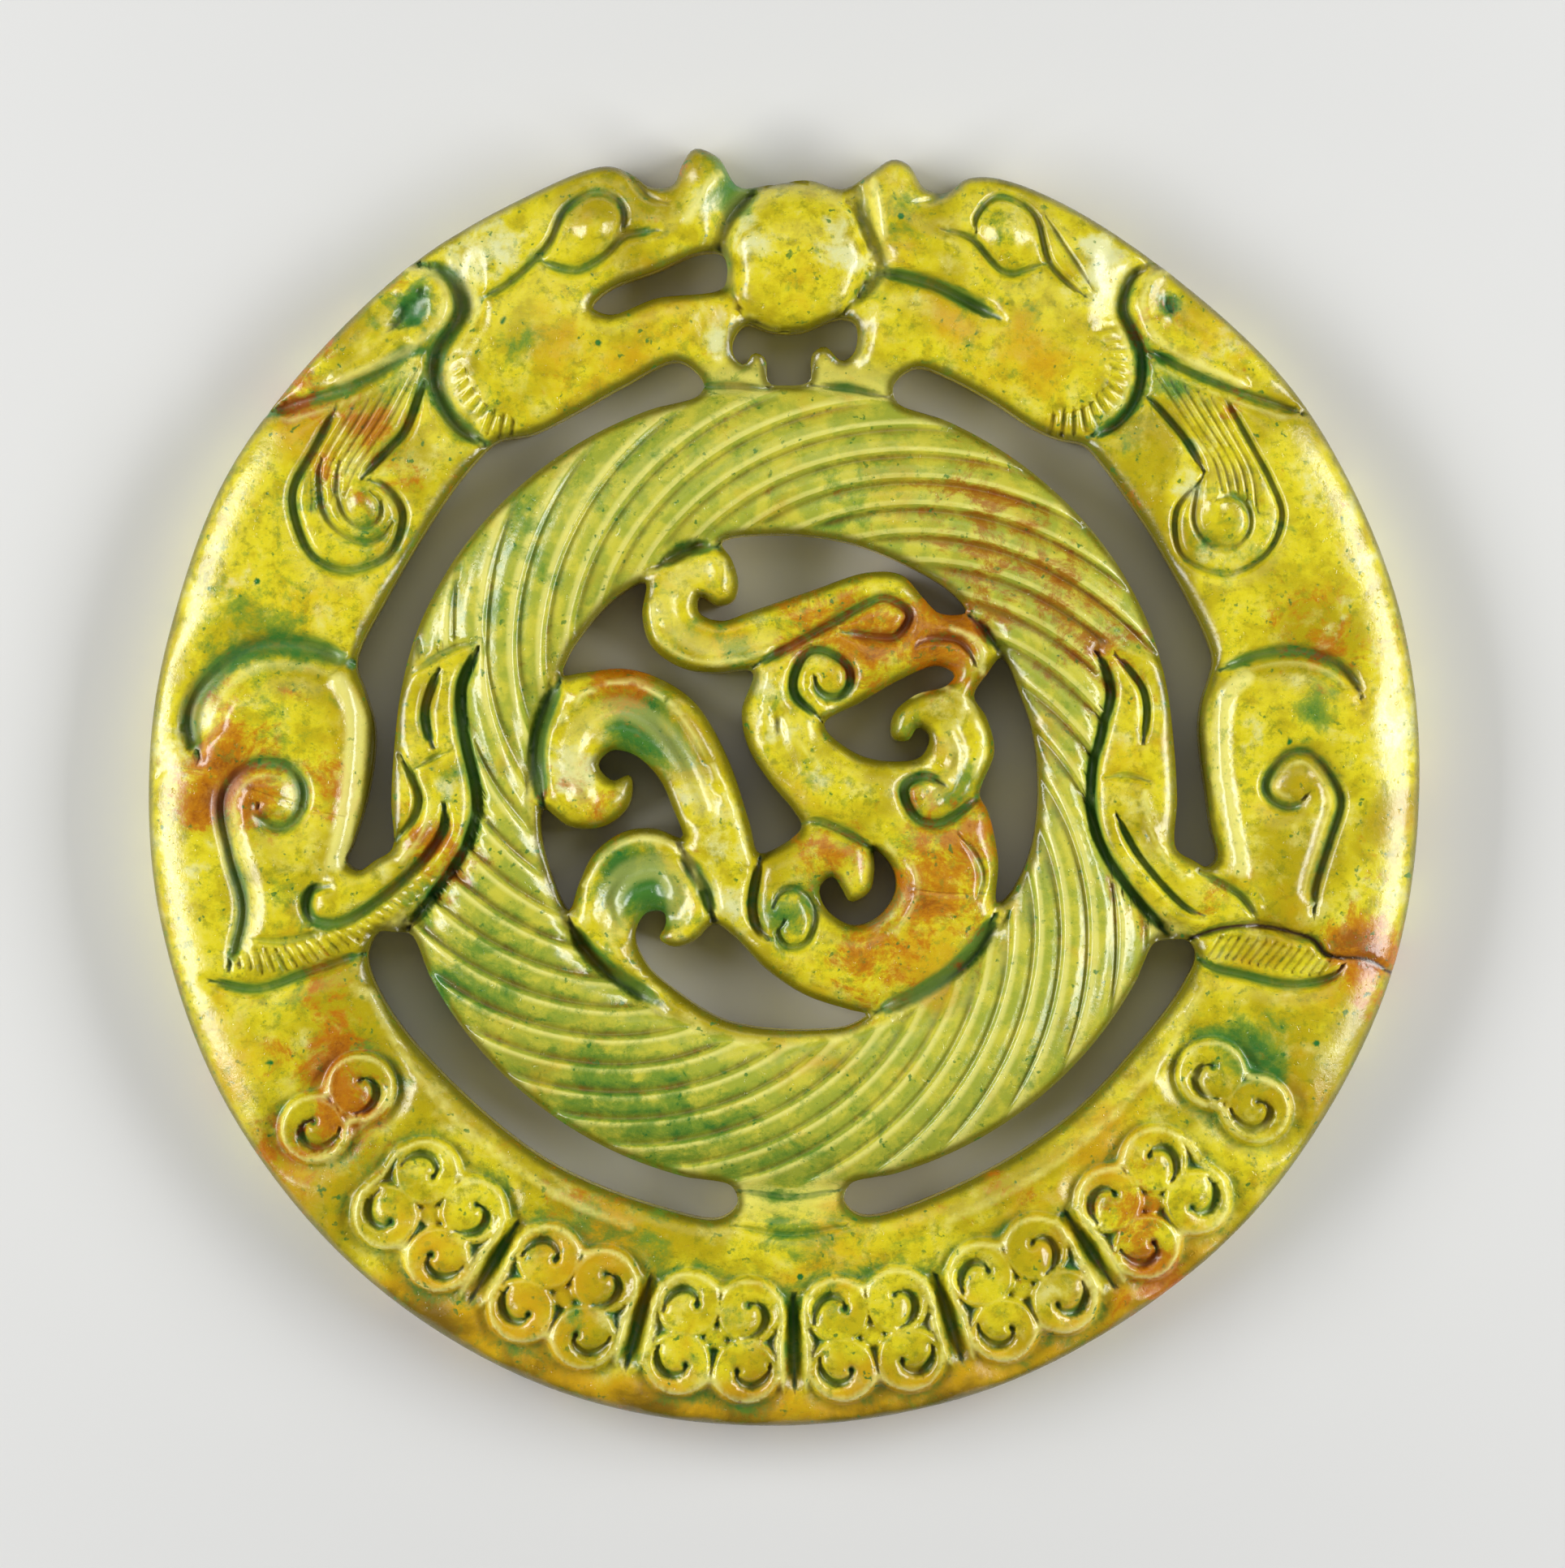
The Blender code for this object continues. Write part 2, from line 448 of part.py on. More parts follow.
def rope_height(points, strands):
    """The twisted rope: a domed ring of leaning strands, each steep on one side and gentle on the other."""
    share = rope_share(points)
    bow = np.sqrt(np.clip(1 - np.abs(2 * share - 1) ** ROPE_FULLNESS, 0.0, 1.0))
    top = (THICKNESS - ROPE_EDGE_DROP * (1 - bow)) * METRE
    angle = np.arctan2(points[:, 1], points[:, 0])
    spot = strand_number(angle, np.clip(share, 0.0, 1.0)) % 1.0
    fall = np.interp(spot, (0.0, STRAND_RIDGE, 1.0), (1.0, 0.0, 1.0))
    return top - strands * STRAND_DEPTH * METRE * fall * smooth(1.6 * bow)


def face_height(points, rim, holes, cuts):
    """Height of the carved face over each point."""
    full = THICKNESS * METRE
    radius = np.hypot(points[:, 0], points[:, 1])
    rope_inner = CENTRE_RADIUS * METRE
    rope_outer = rope_inner + ROPE_WIDTH * METRE
    band_inner = rope_outer + SLOT_WIDTH * METRE
    band = np.full(len(points), full - BAND_DROP * METRE)
    for (across, up), size, rise in SWELLS:
        centre = place([(across, up)])[0]
        band += rise * smooth(1.15 * (1 - np.hypot(*(points - centre).T) / size))
    centre = place([PEARL_CENTRE])[0]
    ball = np.clip(1 - (np.hypot(*(points - centre).T) / (PEARL_RADIUS * METRE)) ** 2, 0.0, 1.0)
    band += PEARL_RISE * METRE * np.sqrt(ball)
    band = np.minimum(band, full)
    distance, _ = nearest(points, closed_line(rim), RIM_ROUND_WIDTH * METRE)
    band -= round_over(distance, RIM_ROUND_WIDTH * METRE, RIM_ROUND_DROP * METRE)
    bird = np.full(len(points), full - PHOENIX_DROP * METRE)
    slot_fall = np.zeros(len(points))
    bird_fall = np.zeros(len(points))
    for hole, in_middle in holes:
        width = (CENTRE_ROUND_WIDTH if in_middle else SLOT_ROUND_WIDTH) * METRE
        drop = (CENTRE_ROUND_DROP if in_middle else SLOT_ROUND_DROP) * METRE
        distance, _ = nearest(points, closed_line(hole), width)
        fall = round_over(distance, width, drop)
        if in_middle:
            bird_fall = np.maximum(bird_fall, fall)
        else:
            slot_fall = np.maximum(slot_fall, fall)
    paw = paw_share(points)
    rope = rope_height(points, 1 - paw)
    in_band = smooth((radius - rope_outer) / (band_inner - rope_outer))
    in_bird = smooth((rope_inner + BIRD_MARGIN - radius) / BIRD_FADE)
    height = rope * (1 - in_band) + (band - slot_fall) * in_band
    height = height * (1 - in_bird) + (bird - bird_fall) * in_bird
    height = np.maximum(height, height * (1 - paw) + (full - slot_fall) * paw)
    soft = np.zeros(len(points))
    deep = np.zeros(len(points))
    for line, width, depth, _ in cuts:
        distance, _ = nearest(points, line, CUT_SHOULDER * width)
        core = np.clip(1 - (distance / (CUT_CORE * width)) ** 2, 0.0, 1.0)
        deep = np.maximum(deep, depth * core ** 1.5)
        shoulder = smooth(1 - distance / (CUT_SHOULDER * width))
        soft = np.maximum(soft, SHOULDER_DEPTH * depth * shoulder)
    return height - np.maximum(deep + 0.5 * soft, soft)


class PointStore:
    """Points of the face, kept apart by a least gap, with the edges that have to stay."""

    def __init__(self, gap):
        self.gap = gap
        self.points = []
        self.edges = []
        self.cells = {}

    def clear_of(self, x, y, gap):
        reach = math.ceil(gap / self.gap)
        column, row = int(x // self.gap), int(y // self.gap)
        for i in range(column - reach, column + reach + 1):
            for j in range(row - reach, row + reach + 1):
                for other in self.cells.get((i, j), ()):
                    if math.hypot(self.points[other][0] - x, self.points[other][1] - y) < gap:
                        return False
        return True

    def add(self, x, y):
        index = len(self.points)
        self.points.append((x, y))
        self.cells.setdefault((int(x // self.gap), int(y // self.gap)), []).append(index)
        return index

    def add_loop(self, line):
        first = len(self.points)
        for x, y in line:
            self.add(x, y)
        count = len(line)
        self.edges += [(first + i, first + (i + 1) % count) for i in range(count)]
        return range(first, first + count)

    def add_free(self, line, keep, gap, joined):
        before = None
        for (x, y), kept in zip(line.tolist(), keep):
            index = self.add(x, y) if kept and self.clear_of(x, y, gap) else None
            if joined and index is not None and before is not None:
                self.edges.append((before, index))
            before = index


def beside(line, offset):
    """The line moved sideways."""
    step = np.gradient(line[:, :2], axis=0)
    normal = np.stack((-step[:, 1], step[:, 0]), axis=1)
    return line[:, :2] + offset * normal / np.maximum(np.linalg.norm(normal, axis=1), 1e-9)[:, None]


def inside(points, loop):
    """Whether each point lies inside a closed line."""
    x, y = points[:, 0], points[:, 1]
    result = np.zeros(len(points), bool)
    for (x0, y0), (x1, y1) in zip(loop, np.roll(loop, -1, axis=0)):
        if y0 == y1:
            continue
        crosses = ((y0 > y) != (y1 > y)) & (x < (x1 - x0) * (y - y0) / (y1 - y0) + x0)
        result ^= crosses
    return result


def in_material(points, rim, holes, margin):
    """Whether each point lies in the jade, at least a margin from any edge."""
    keep = inside(points, rim)
    keep &= nearest(points, closed_line(rim), margin)[0] >= margin
    for hole, _ in holes:
        keep &= ~inside(points, hole)
        keep &= nearest(points, closed_line(hole), margin)[0] >= margin
    return keep


def strand_lines():
    """Grooves and ridges of the rope's strands, a groove first."""
    angles = np.linspace(-1.6 * math.pi, 3.2 * math.pi, 1400)
    shares = 0.5 - 0.5 * np.cos(math.pi * np.linspace(0.07, 0.93, 8))
    wanted = np.add.outer(np.arange(STRAND_COUNT), (0.0, STRAND_RIDGE)).ravel()
    turned = np.array([np.interp(wanted, strand_number(angles, share), angles) for share in shares])
    radius = (CENTRE_RADIUS + ROPE_WIDTH * (1 - shares[:, None])) * METRE
    lines = np.stack((radius * np.cos(turned), radius * np.sin(turned)), axis=2)
    return [lines[:, index] for index in range(lines.shape[1])]


def paw_share(points):
    """One on the paws that lie over the rope, zero beside them, with a soft edge."""
    paw = np.zeros(len(points))
    for line in PAWS:
        spine = curve(line)
        spine = np.column_stack((place(spine), spine[:, 2]))
        distance, found = nearest(points, spine, PAW_REACH)
        paw = np.maximum(paw, smooth((found[:, 2] - distance) / PAW_EDGE + 0.5) * (distance < PAW_REACH))
    return paw


def on_rope(points):
    """Whether each point lies on the open rope, off the paws and the rope's two edges."""
    share = rope_share(points)
    return (share > 0.0) & (share < 1.0) & (paw_share(points) < 0.5)


def edge_rows(rim, holes):
    """Lines along every edge, at two shares of its rounding's width: where it bends and where it ends."""
    rows = []
    for inset in (0.35, 1.0):
        rows.append(beside(closed_line(rim), inset * RIM_ROUND_WIDTH * METRE))
        for hole, in_middle in holes:
            width = (CENTRE_ROUND_WIDTH if in_middle else SLOT_ROUND_WIDTH) * METRE
            rows.append(beside(closed_line(hole), -inset * width))
    return rows


def pearl_rings():
    """Circles over the pearl's dome and at its foot."""
    centre = place([PEARL_CENTRE])[0]
    rings = []
    for share in (0.45, 0.78, 0.98):
        radius = share * PEARL_RADIUS * METRE
        turn = np.linspace(0, 2 * math.pi, round(2 * math.pi * radius / EDGE_STEP))
        rings.append(centre + radius * np.stack((np.cos(turn), np.sin(turn)), axis=1))
    return rings


def scroll_knobs():
    """The middle of each curl, and the middle between each block's four."""
    knobs = np.array([centre for centre, _, _ in scroll_curls()])
    blocks = knobs[:4 * SCROLL_BLOCKS].reshape(SCROLL_BLOCKS, 4, 2).mean(axis=1)
    return [knobs, blocks]


def plain_rows():
    """Rows of points for the plain surface between the cuts."""
    span = 2 * DISC_RADIUS * METRE
    row_step = FILL_STEP * math.sqrt(3) / 2
    count = int(span / row_step) + 2
    rows = []
    for row in range(count):
        y = -span / 2 + row * row_step
        x = -span / 2 + FILL_STEP * (np.arange(count) + 0.5 * (row % 2))
        rows.append(np.stack((x, np.full(count, y)), axis=1))
    return rows


def face_points(rim, holes, cuts):
    """Points of the face: its edges first, then the cuts, the strands and the plain surface."""
    bottoms = [spaced(line, step) for line, _, _, step in cuts]
    sides = [beside(bottom, side * width)
             for bottom, (_, width, _, _) in zip(bottoms, cuts) for side in (-CUT_CORE, CUT_CORE)]
    # lines, distance to keep from the jade's edges, gap to other points, whether joined, on the rope or off
    groups = (
        (bottoms, 0.4, POINT_GAP, True, None),
        (sides, 0.4, 0.9 * POINT_GAP, False, None),
        (strand_lines(), 0.25, POINT_GAP, True, True),
        (scroll_knobs(), 0.4, POINT_GAP, False, None),
        (edge_rows(rim, holes), 0.3, 0.75 * EDGE_STEP, False, False),
        (pearl_rings(), 0.4, 0.7 * EDGE_STEP, False, None),
        (plain_rows(), 0.5, 0.6 * FILL_STEP, False, False),
    )
    store = PointStore(POINT_GAP)
    rings = [store.add_loop(rim)]
    rings += [store.add_loop(hole) for hole, _ in holes]
    for lines, margin, gap, joined, rope in groups:
        together = np.vstack(lines)
        keep = in_material(together, rim, holes, margin)
        if rope is not None:
            keep &= on_rope(together) == rope
        start = 0
        for line in lines:
            store.add_free(line, keep[start:start + len(line)], gap, joined)
            start += len(line)
    return store, rings


def triangles(points, edges, rim, holes):
    """Triangles of the jade between the given points, with its edges kept."""
    result = delaunay_2d_cdt([Vector(point) for point in points], list(edges), [], 0, 1e-5)
    flat = np.array([tuple(vertex) for vertex in result[0]])
    faces = np.array([face for face in result[2] if len(face) == 3])
    middle = flat[faces].mean(axis=1)
    keep = inside(middle, rim)
    for hole in holes:
        keep &= ~inside(middle, hole)
    faces = faces[keep]
    a, b, c = flat[faces[:, 0]], flat[faces[:, 1]], flat[faces[:, 2]]
    area = (b[:, 0] - a[:, 0]) * (c[:, 1] - a[:, 1]) - (b[:, 1] - a[:, 1]) * (c[:, 0] - a[:, 0])
    faces[area < 0] = faces[area < 0][:, ::-1]
    where = {}
    for index, sources in enumerate(result[3]):
        for source in sources:
            where[source] = index
    return flat, faces, where


def jade_mesh():
    """The whole disc: carved face, upright walls and flat back."""
    rim = counter_clockwise(spaced(place(curve(polar(RIM), closed=True)), EDGE_STEP, closed=True))
    holes = []
    for hole, in_middle in openings():
        step = MIDDLE_EDGE_STEP if in_middle else EDGE_STEP
        holes.append((counter_clockwise(spaced(hole, step, closed=True)), in_middle))
    cuts = carved_cuts()
    store, rings = face_points(rim, holes, cuts)
    hole_lines = [hole for hole, _ in holes]
    flat, front, where = triangles(store.points, store.edges, rim, hole_lines)
    height = face_height(flat, rim, holes, cuts)
    edge_count = rings[-1].stop
    edge_points = store.points[:edge_count]
    edge_lines = store.edges[:edge_count]
    back_flat, back, back_where = triangles(edge_points, edge_lines, rim, hole_lines)
    top = np.column_stack((flat, height))
    bottom = np.column_stack((back_flat, np.zeros(len(back_flat))))
    offset = len(top)
    faces = [tuple(face) for face in front.tolist()]
    faces += [tuple(offset + index for index in reversed(face)) for face in back.tolist()]
    for number, ring in enumerate(rings):
        for index in ring:
            after = ring.start + (index - ring.start + 1) % len(ring)
            wall = (where[index], where[after], offset + back_where[after], offset + back_where[index])
            faces.append(wall[::-1] if number == 0 else wall)
    vertices = np.vstack((top, bottom))
    middle = (vertices.max(axis=0) + vertices.min(axis=0)) / 2
    middle[2] = 0.0
    mesh = bpy.data.meshes.new("jade_disc")
    mesh.from_pydata(((vertices - middle) / METRE).tolist(), [], faces)
    mesh.validate()
    return mesh


def jade_material():
    """Yellow-green polished jade."""
    material = bpy.data.materials.new("yellow_green_jade")
    material.use_nodes = True
    shader = material.node_tree.nodes["Principled BSDF"]
    shader.inputs["Base Color"].default_value = (0.56, 0.50, 0.09, 1.0)
    shader.inputs["Roughness"].default_value = 0.28
    shader.inputs["Metallic"].default_value = 0.0
    return material


def clear_scene():
    for item in list(bpy.data.objects):
        bpy.data.objects.remove(item, do_unlink=True)


def main():
    clear_scene()
    mesh = jade_mesh()
    mesh.materials.append(jade_material())
    disc = bpy.data.objects.new("jade_disc", mesh)
    bpy.context.scene.collection.objects.link(disc)
    shape = bmesh.new()
    shape.from_mesh(mesh)
    bmesh.ops.recalc_face_normals(shape, faces=shape.faces)
    bmesh.ops.triangulate(shape, faces=[face for face in shape.faces if len(face.verts) > 3])
    shape.to_mesh(mesh)
    shape.free()
    mesh.shade_smooth()
    mesh.set_sharp_from_angle(angle=math.radians(50.0))


main()
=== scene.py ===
"""Openwork jade disc, carved in fine relief and coloured, on a plain pale floor.

The disc lies on its flat back. X is to the right, Y towards the pearl, Z out of the carved face.
The pattern is drawn in millimetres on a disc of the nominal radii in PATTERN_RADII.
"""
import math
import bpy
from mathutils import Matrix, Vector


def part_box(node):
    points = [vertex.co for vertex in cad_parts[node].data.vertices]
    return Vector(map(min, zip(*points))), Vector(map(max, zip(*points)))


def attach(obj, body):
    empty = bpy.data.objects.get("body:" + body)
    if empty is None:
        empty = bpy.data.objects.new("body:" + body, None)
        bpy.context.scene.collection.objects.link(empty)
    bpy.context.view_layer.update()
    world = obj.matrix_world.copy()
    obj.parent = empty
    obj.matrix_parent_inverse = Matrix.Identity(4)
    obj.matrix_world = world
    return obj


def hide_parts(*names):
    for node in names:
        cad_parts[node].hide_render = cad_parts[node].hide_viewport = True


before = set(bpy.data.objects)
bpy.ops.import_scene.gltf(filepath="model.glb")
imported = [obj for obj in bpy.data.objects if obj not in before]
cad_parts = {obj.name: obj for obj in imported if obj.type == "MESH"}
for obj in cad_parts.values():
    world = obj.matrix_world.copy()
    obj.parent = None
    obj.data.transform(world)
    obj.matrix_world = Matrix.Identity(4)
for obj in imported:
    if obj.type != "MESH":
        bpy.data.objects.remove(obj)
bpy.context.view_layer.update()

from types import SimpleNamespace

import bpy
import numpy as np
from bpy.props import FloatProperty, FloatVectorProperty, IntProperty, PointerProperty
from mathutils import Vector
from mathutils.geometry import delaunay_2d_cdt

bl_info = {
    "name": "Jade Disc",
    "version": (1, 0, 0),
    "blender": (4, 5, 0),
    "location": "3D View > Sidebar > Jade Disc",
    "description": "Carves an openwork jade disc with dragons, pearl, rope ring and phoenix",
    "category": "Object",
}

DISC_LOW, DISC_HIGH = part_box("jade_disc")

# Nominal radii of the pattern in millimetres: middle, rope inside, rope outside, band inside, rim
PATTERN_RADII = (0.0, 19.9, 31.4, 34.8, 50.2)

# The rim as angle in degrees and radius: nearly a circle, nicked on both sides of each horn
RIM = (
    (149, 50.2), (127, 50.4), (113, 50.7), (106, 50.8), (104, 49.7), (102.6, 48.4), (100.4, 48.2), (99.3, 49.6),
    (98, 50.7), (96, 49.8), (94.4, 47.4), (91.6, 47.4), (87.7, 47.8), (84.4, 47.3), (82.1, 48.7), (80.2, 50.1),
    (78.7, 49.9), (76.9, 48.4), (74.9, 48.4), (73.2, 50.0), (70, 50.8), (60, 50.7), (41, 50.7), (29, 50.5),
    (15, 50.3), (0, 49.9), (-17, 49.9), (-35, 49.7), (-50, 49.7), (-70, 49.9), (-90, 50.1), (-110, 50.6),
    (-130, 50.6), (-150, 50.4), (-168, 50.1), (177, 49.9), (165, 49.8),
)

# Outer edges of the four slots beside the rope, as angle and radius, and their rounded ends
SLOTS = (
    ((101.2, 32.4), (103.9, 34.5), (111.7, 34.0), (118.7, 33.7), (125.5, 34.1), (129.6, 35.3), (133.2, 35.3),
     (140, 34.9), (153.6, 34.6), (163.7, 35.0), (167, 33.8), (171.7, 32.5), (180.2, 32.6), (187.2, 34.1),
     (189.5, 34.9), (191, 34.0), (190, 32.5)),
    ((-10, 32.5), (-10.6, 33.8), (-9.2, 34.4), (-5.1, 33.6), (-0.5, 33.1), (4, 32.8), (8.4, 32.9), (11.8, 33.5),
     (14.3, 34.4), (17, 35.2), (32.5, 35.0), (39.2, 35.2), (46, 35.7), (48.8, 35.8), (51.7, 34.9), (55, 34.4),
     (62, 34.5), (68, 34.7), (72.6, 34.6), (74.8, 32.8)),
    ((200.3, 32.6), (199.6, 33.8), (202, 35.3), (208.4, 35.6), (220, 35.0), (238, 34.7), (255, 34.4), (261.5, 34.2),
     (263.6, 32.9)),
    ((278.3, 32.9), (280.5, 34.2), (293.5, 34.1), (310, 34.2), (326, 34.5), (334, 35.0), (338, 34.9), (339.3, 33.9),
     (338.5, 32.5)),
)

# Openings of the middle and of the band, as closed curves through points
MIDDLE_OPENINGS = (
    # between the crest and the rope
    ((-4.9, 19.3), (0, 19.9), (5.2, 19.2), (9.8, 17.4), (13.2, 15.3), (14.3, 13.8), (12.2, 13.7), (11, 14.8),
     (9.2, 16.7), (6.5, 16.9), (2.2, 15.5), (-2.5, 13.9), (-5, 13.1), (-6.7, 13.8), (-6.6, 15), (-5.2, 14.3),
     (-4, 14.7), (-3.6, 16.1), (-4.1, 17.9)),
    # between the crest, the tail and the neck
    ((-10.9, 16.1), (-13, 15.1), (-15.2, 12.9), (-16.9, 10.5), (-17.4, 8.9), (-15.6, 9.1), (-12.5, 9.35), (-9.8, 8.6),
     (-7, 6.7), (-4.5, 2.5), (-2.7, -2.8), (-2, -5.1), (-0.6, -4.7), (1.35, -3.1), (0.8, -1.9), (-1.1, 0.4),
     (-2.8, 3.1), (-3.35, 6), (-2.5, 9.1), (-5.5, 9), (-8.2, 9.5), (-10.5, 11.2), (-11.15, 13.6)),
    # between the tail and the leaf
    ((-14.6, 1.8), (-13.6, 2.9), (-11.8, 2.6), (-9.9, 0.85), (-8.7, -1.7), (-8, -3.9), (-10.1, -3.2), (-12.5, -3.4),
     (-14.9, -5.1), (-16.1, -7.5), (-16.9, -9.6), (-18.15, -7.2), (-19.1, -3.6), (-18.9, -1.7), (-16.7, -3.1),
     (-14.1, -3), (-12.15, -1.3), (-12.1, 1), (-13.5, 0.6)),
    # under the leaf and the body
    ((-5.5, -10.7), (-3.9, -11.7), (-1.5, -14.15), (1.65, -16.25), (5.1, -17.4), (6.5, -17.8), (5, -18.7),
     (2.15, -19), (-1.8, -18.85), (-5, -18.1), (-8.4, -16), (-10.7, -14), (-11.7, -11.6), (-10.85, -9.85),
     (-9.5, -9.75), (-9.3, -10.7), (-9.8, -11.8), (-8.6, -12.5), (-7, -12)),
    # the open beak
    ((3.15, 5), (6, 6.7), (9.1, 8.5), (12, 9.6), (13.4, 8.9), (12.7, 8), (10.3, 7.3), (8.6, 5.8), (8.5, 3.9),
     (9.7, 3.7), (10.5, 4.7), (11.4, 4.1), (10.8, 2.5), (8.3, 2.1), (5.5, 2.8)),
    # behind the breast
    ((17.1, 10.2), (18.6, 7.2), (19.7, 3.5), (19.9, -1.8), (19.1, -5.7), (17.5, -8.6), (16.7, -9), (16.8, -5.7),
     (16, -1.85), (15.35, -0.5), (16.5, 2.85), (15.85, 5.6), (14.9, 7.2), (15.9, 8.9)),
    # inside the curled belly
    ((7.1, -4.9), (8.5, -6.3), (8.7, -8.2), (7.4, -10.1), (5.4, -10.8), (3.3, -9.5), (2.8, -7.8), (3.8, -7),
     (4.5, -7.9), (5.2, -8.95), (6.7, -8.15), (7.1, -6.4)),
)
BAND_OPENINGS = (
    # under the pearl, over the dragons' crossed feet
    ((-4, 35.2), (-3, 36.4), (-1, 35.8), (1.3, 35.8), (4.4, 36.9), (5.6, 36.5), (5.5, 34.2), (4.5, 33.5), (3.2, 34.6),
     (2.2, 34), (1.95, 31.9), (0, 31.6), (-1.2, 31.8), (-1.5, 33.7), (-2.4, 34.1), (-3.1, 33.2), (-3.9, 33.8)),
    # the left dragon's mouth
    ((-15.1, 37.8), (-13.7, 37.1), (-10, 38.4), (-4.8, 39.3), (-4.8, 41.9), (-6.7, 42), (-10, 40.6), (-13.7, 39.2)),
)

# Cut grooves: width and depth in millimetres, the side that slopes into the cut (1 left of the line, -1 right,
# 0 neither), then the points of the line
DRAGON_GROOVES = (
    # left dragon: pearl side, brow and eye, lower lid, crest valley, nose
    (1.3, 0.5, 0, (-2.5, 46.8), (-4.2, 44.5), (-4.8, 42), (-4.6, 40), (-3.8, 38.3)),
    (0.8, 0.75, 0, (-23.6, 38.4), (-22, 39.3), (-20.4, 40.6), (-18.4, 42.7), (-17.2, 45.25), (-15.3, 46.6),
     (-14.1, 46.65), (-13.1, 46.05), (-12.6, 45.1), (-12.7, 44), (-13.4, 43.1)),
    (0.9, 0.9, 0, (-19.1, 41.3), (-17.7, 40.8), (-16.2, 40.6), (-14.1, 41.7), (-12.5, 43.3), (-11.2, 43.55),
     (-9.9, 43.7)),
    (0.7, 0.5, 0, (-12.4, 48.4), (-11.4, 47), (-10.4, 46.2), (-9.2, 45.9)),
    # its ear pit, ear and jaw, the ear's lower edge, its mane with the curl
    (2.3, 1.0, 0, (-28.4, 38.7), (-28.9, 37.7), (-30.6, 36.2)),
    (1.35, 1.5, 1, (-28.6, 41.1), (-27.4, 40.75), (-26.1, 39.85), (-25.4, 37.7), (-25.85, 36.4), (-27.1, 34.5),
     (-27.5, 33), (-27, 30.5), (-25.4, 28.2), (-23.25, 27)),
    (1.1, 1.2, 1, (-27.9, 34.3), (-29.7, 34.1), (-32.2, 32.3), (-35.1, 31.05), (-38.5, 30), (-40.6, 29.3)),
    (0.85, 0.9, 0, (-35.1, 29.8), (-36.9, 26.4), (-38.4, 23.7), (-38.5, 21.9), (-37.25, 18.5), (-35.8, 17.4),
     (-34, 17.05), (-31, 18.3), (-29.9, 21.2), (-30.4, 22.6), (-31.5, 23.7), (-32.6, 24.1)),
    (0.7, 0.65, 0, (-36.3, 25.8), (-36.45, 24), (-35.6, 20.8), (-32.9, 19.2), (-31.5, 19.7), (-30.7, 20.8)),
    (0.6, 0.55, 0, (-34.9, 25.6), (-35, 23.4), (-34.3, 21.2), (-32.9, 20.4), (-31.7, 21.2), (-31.7, 22.4),
     (-32.4, 23.2)),
    (0.9, 1.1, 0, (-27.9, 33.2), (-29.7, 28), (-30.8, 26.75), (-32.05, 25.5), (-33.1, 24.2)),
    # right dragon: ear pit, pearl side, mouth, lower lid, eye, crest valley, ear and jaw
    (1.5, 1.0, 0, (30, 38), (30.1, 37.7), (30.3, 37.4)),
    (1.3, 0.5, 0, (6, 46.9), (6.5, 43.8), (7.6, 41), (6.7, 39.5), (4.9, 37.6)),
    (1.1, 1.6, 0, (7.3, 40.4), (9, 40.2), (11.6, 39.5), (15.2, 37.7), (16.8, 36.8)),
    (0.7, 0.8, 0, (12.3, 43.8), (14.6, 43.1), (16.05, 41.5), (16.95, 40.6), (17.85, 40.3), (18.9, 40.6),
     (20.5, 41.1)),
    (0.65, 0.7, 0, (15.07, 43.4), (15.07, 44.7), (16.5, 46.3), (17.7, 46.25), (19.6, 44.9), (20.8, 41.1),
     (22.5, 39.3), (23.6, 38.5)),
    (0.6, 0.45, 0, (20.5, 44.8), (21.6, 42.9), (22.9, 40.95), (24.1, 39.15)),
    (0.7, 0.5, 0, (13.6, 48.4), (12.6, 46.9), (11.6, 46.1), (10.4, 45.9)),
    (0.95, 1.4, -1, (28.8, 41.2), (27.2, 40), (26.6, 37.5), (27.2, 36.1), (28, 33.9), (27.8, 31.05), (26.3, 28.7),
     (23.9, 27.5)),
    (0.8, 1.2, -1, (28, 34.3), (29.5, 33.8), (31.3, 32.85), (35.6, 31.05), (38.6, 30.1), (40.8, 29.3)),
    (0.75, 1.0, 0, (28.2, 30.9), (29.5, 29.6), (31.6, 27.1), (32.9, 24.8)),
    (0.6, 0.65, 0, (32.4, 23.9), (30.75, 21.7), (30.9, 18.8), (32, 17.6), (34.9, 16.8), (37.9, 18.5), (39, 21.35),
     (38.1, 24.05), (36.85, 26.4), (35.4, 29), (34.2, 31)),
    (0.6, 0.5, 0, (32.9, 24.8), (32.3, 22.8), (32.2, 20.6), (33.4, 19), (35.2, 18.9), (36.4, 20.2), (36.3, 21.8),
     (35.2, 22.9), (33.9, 22.6)),
)
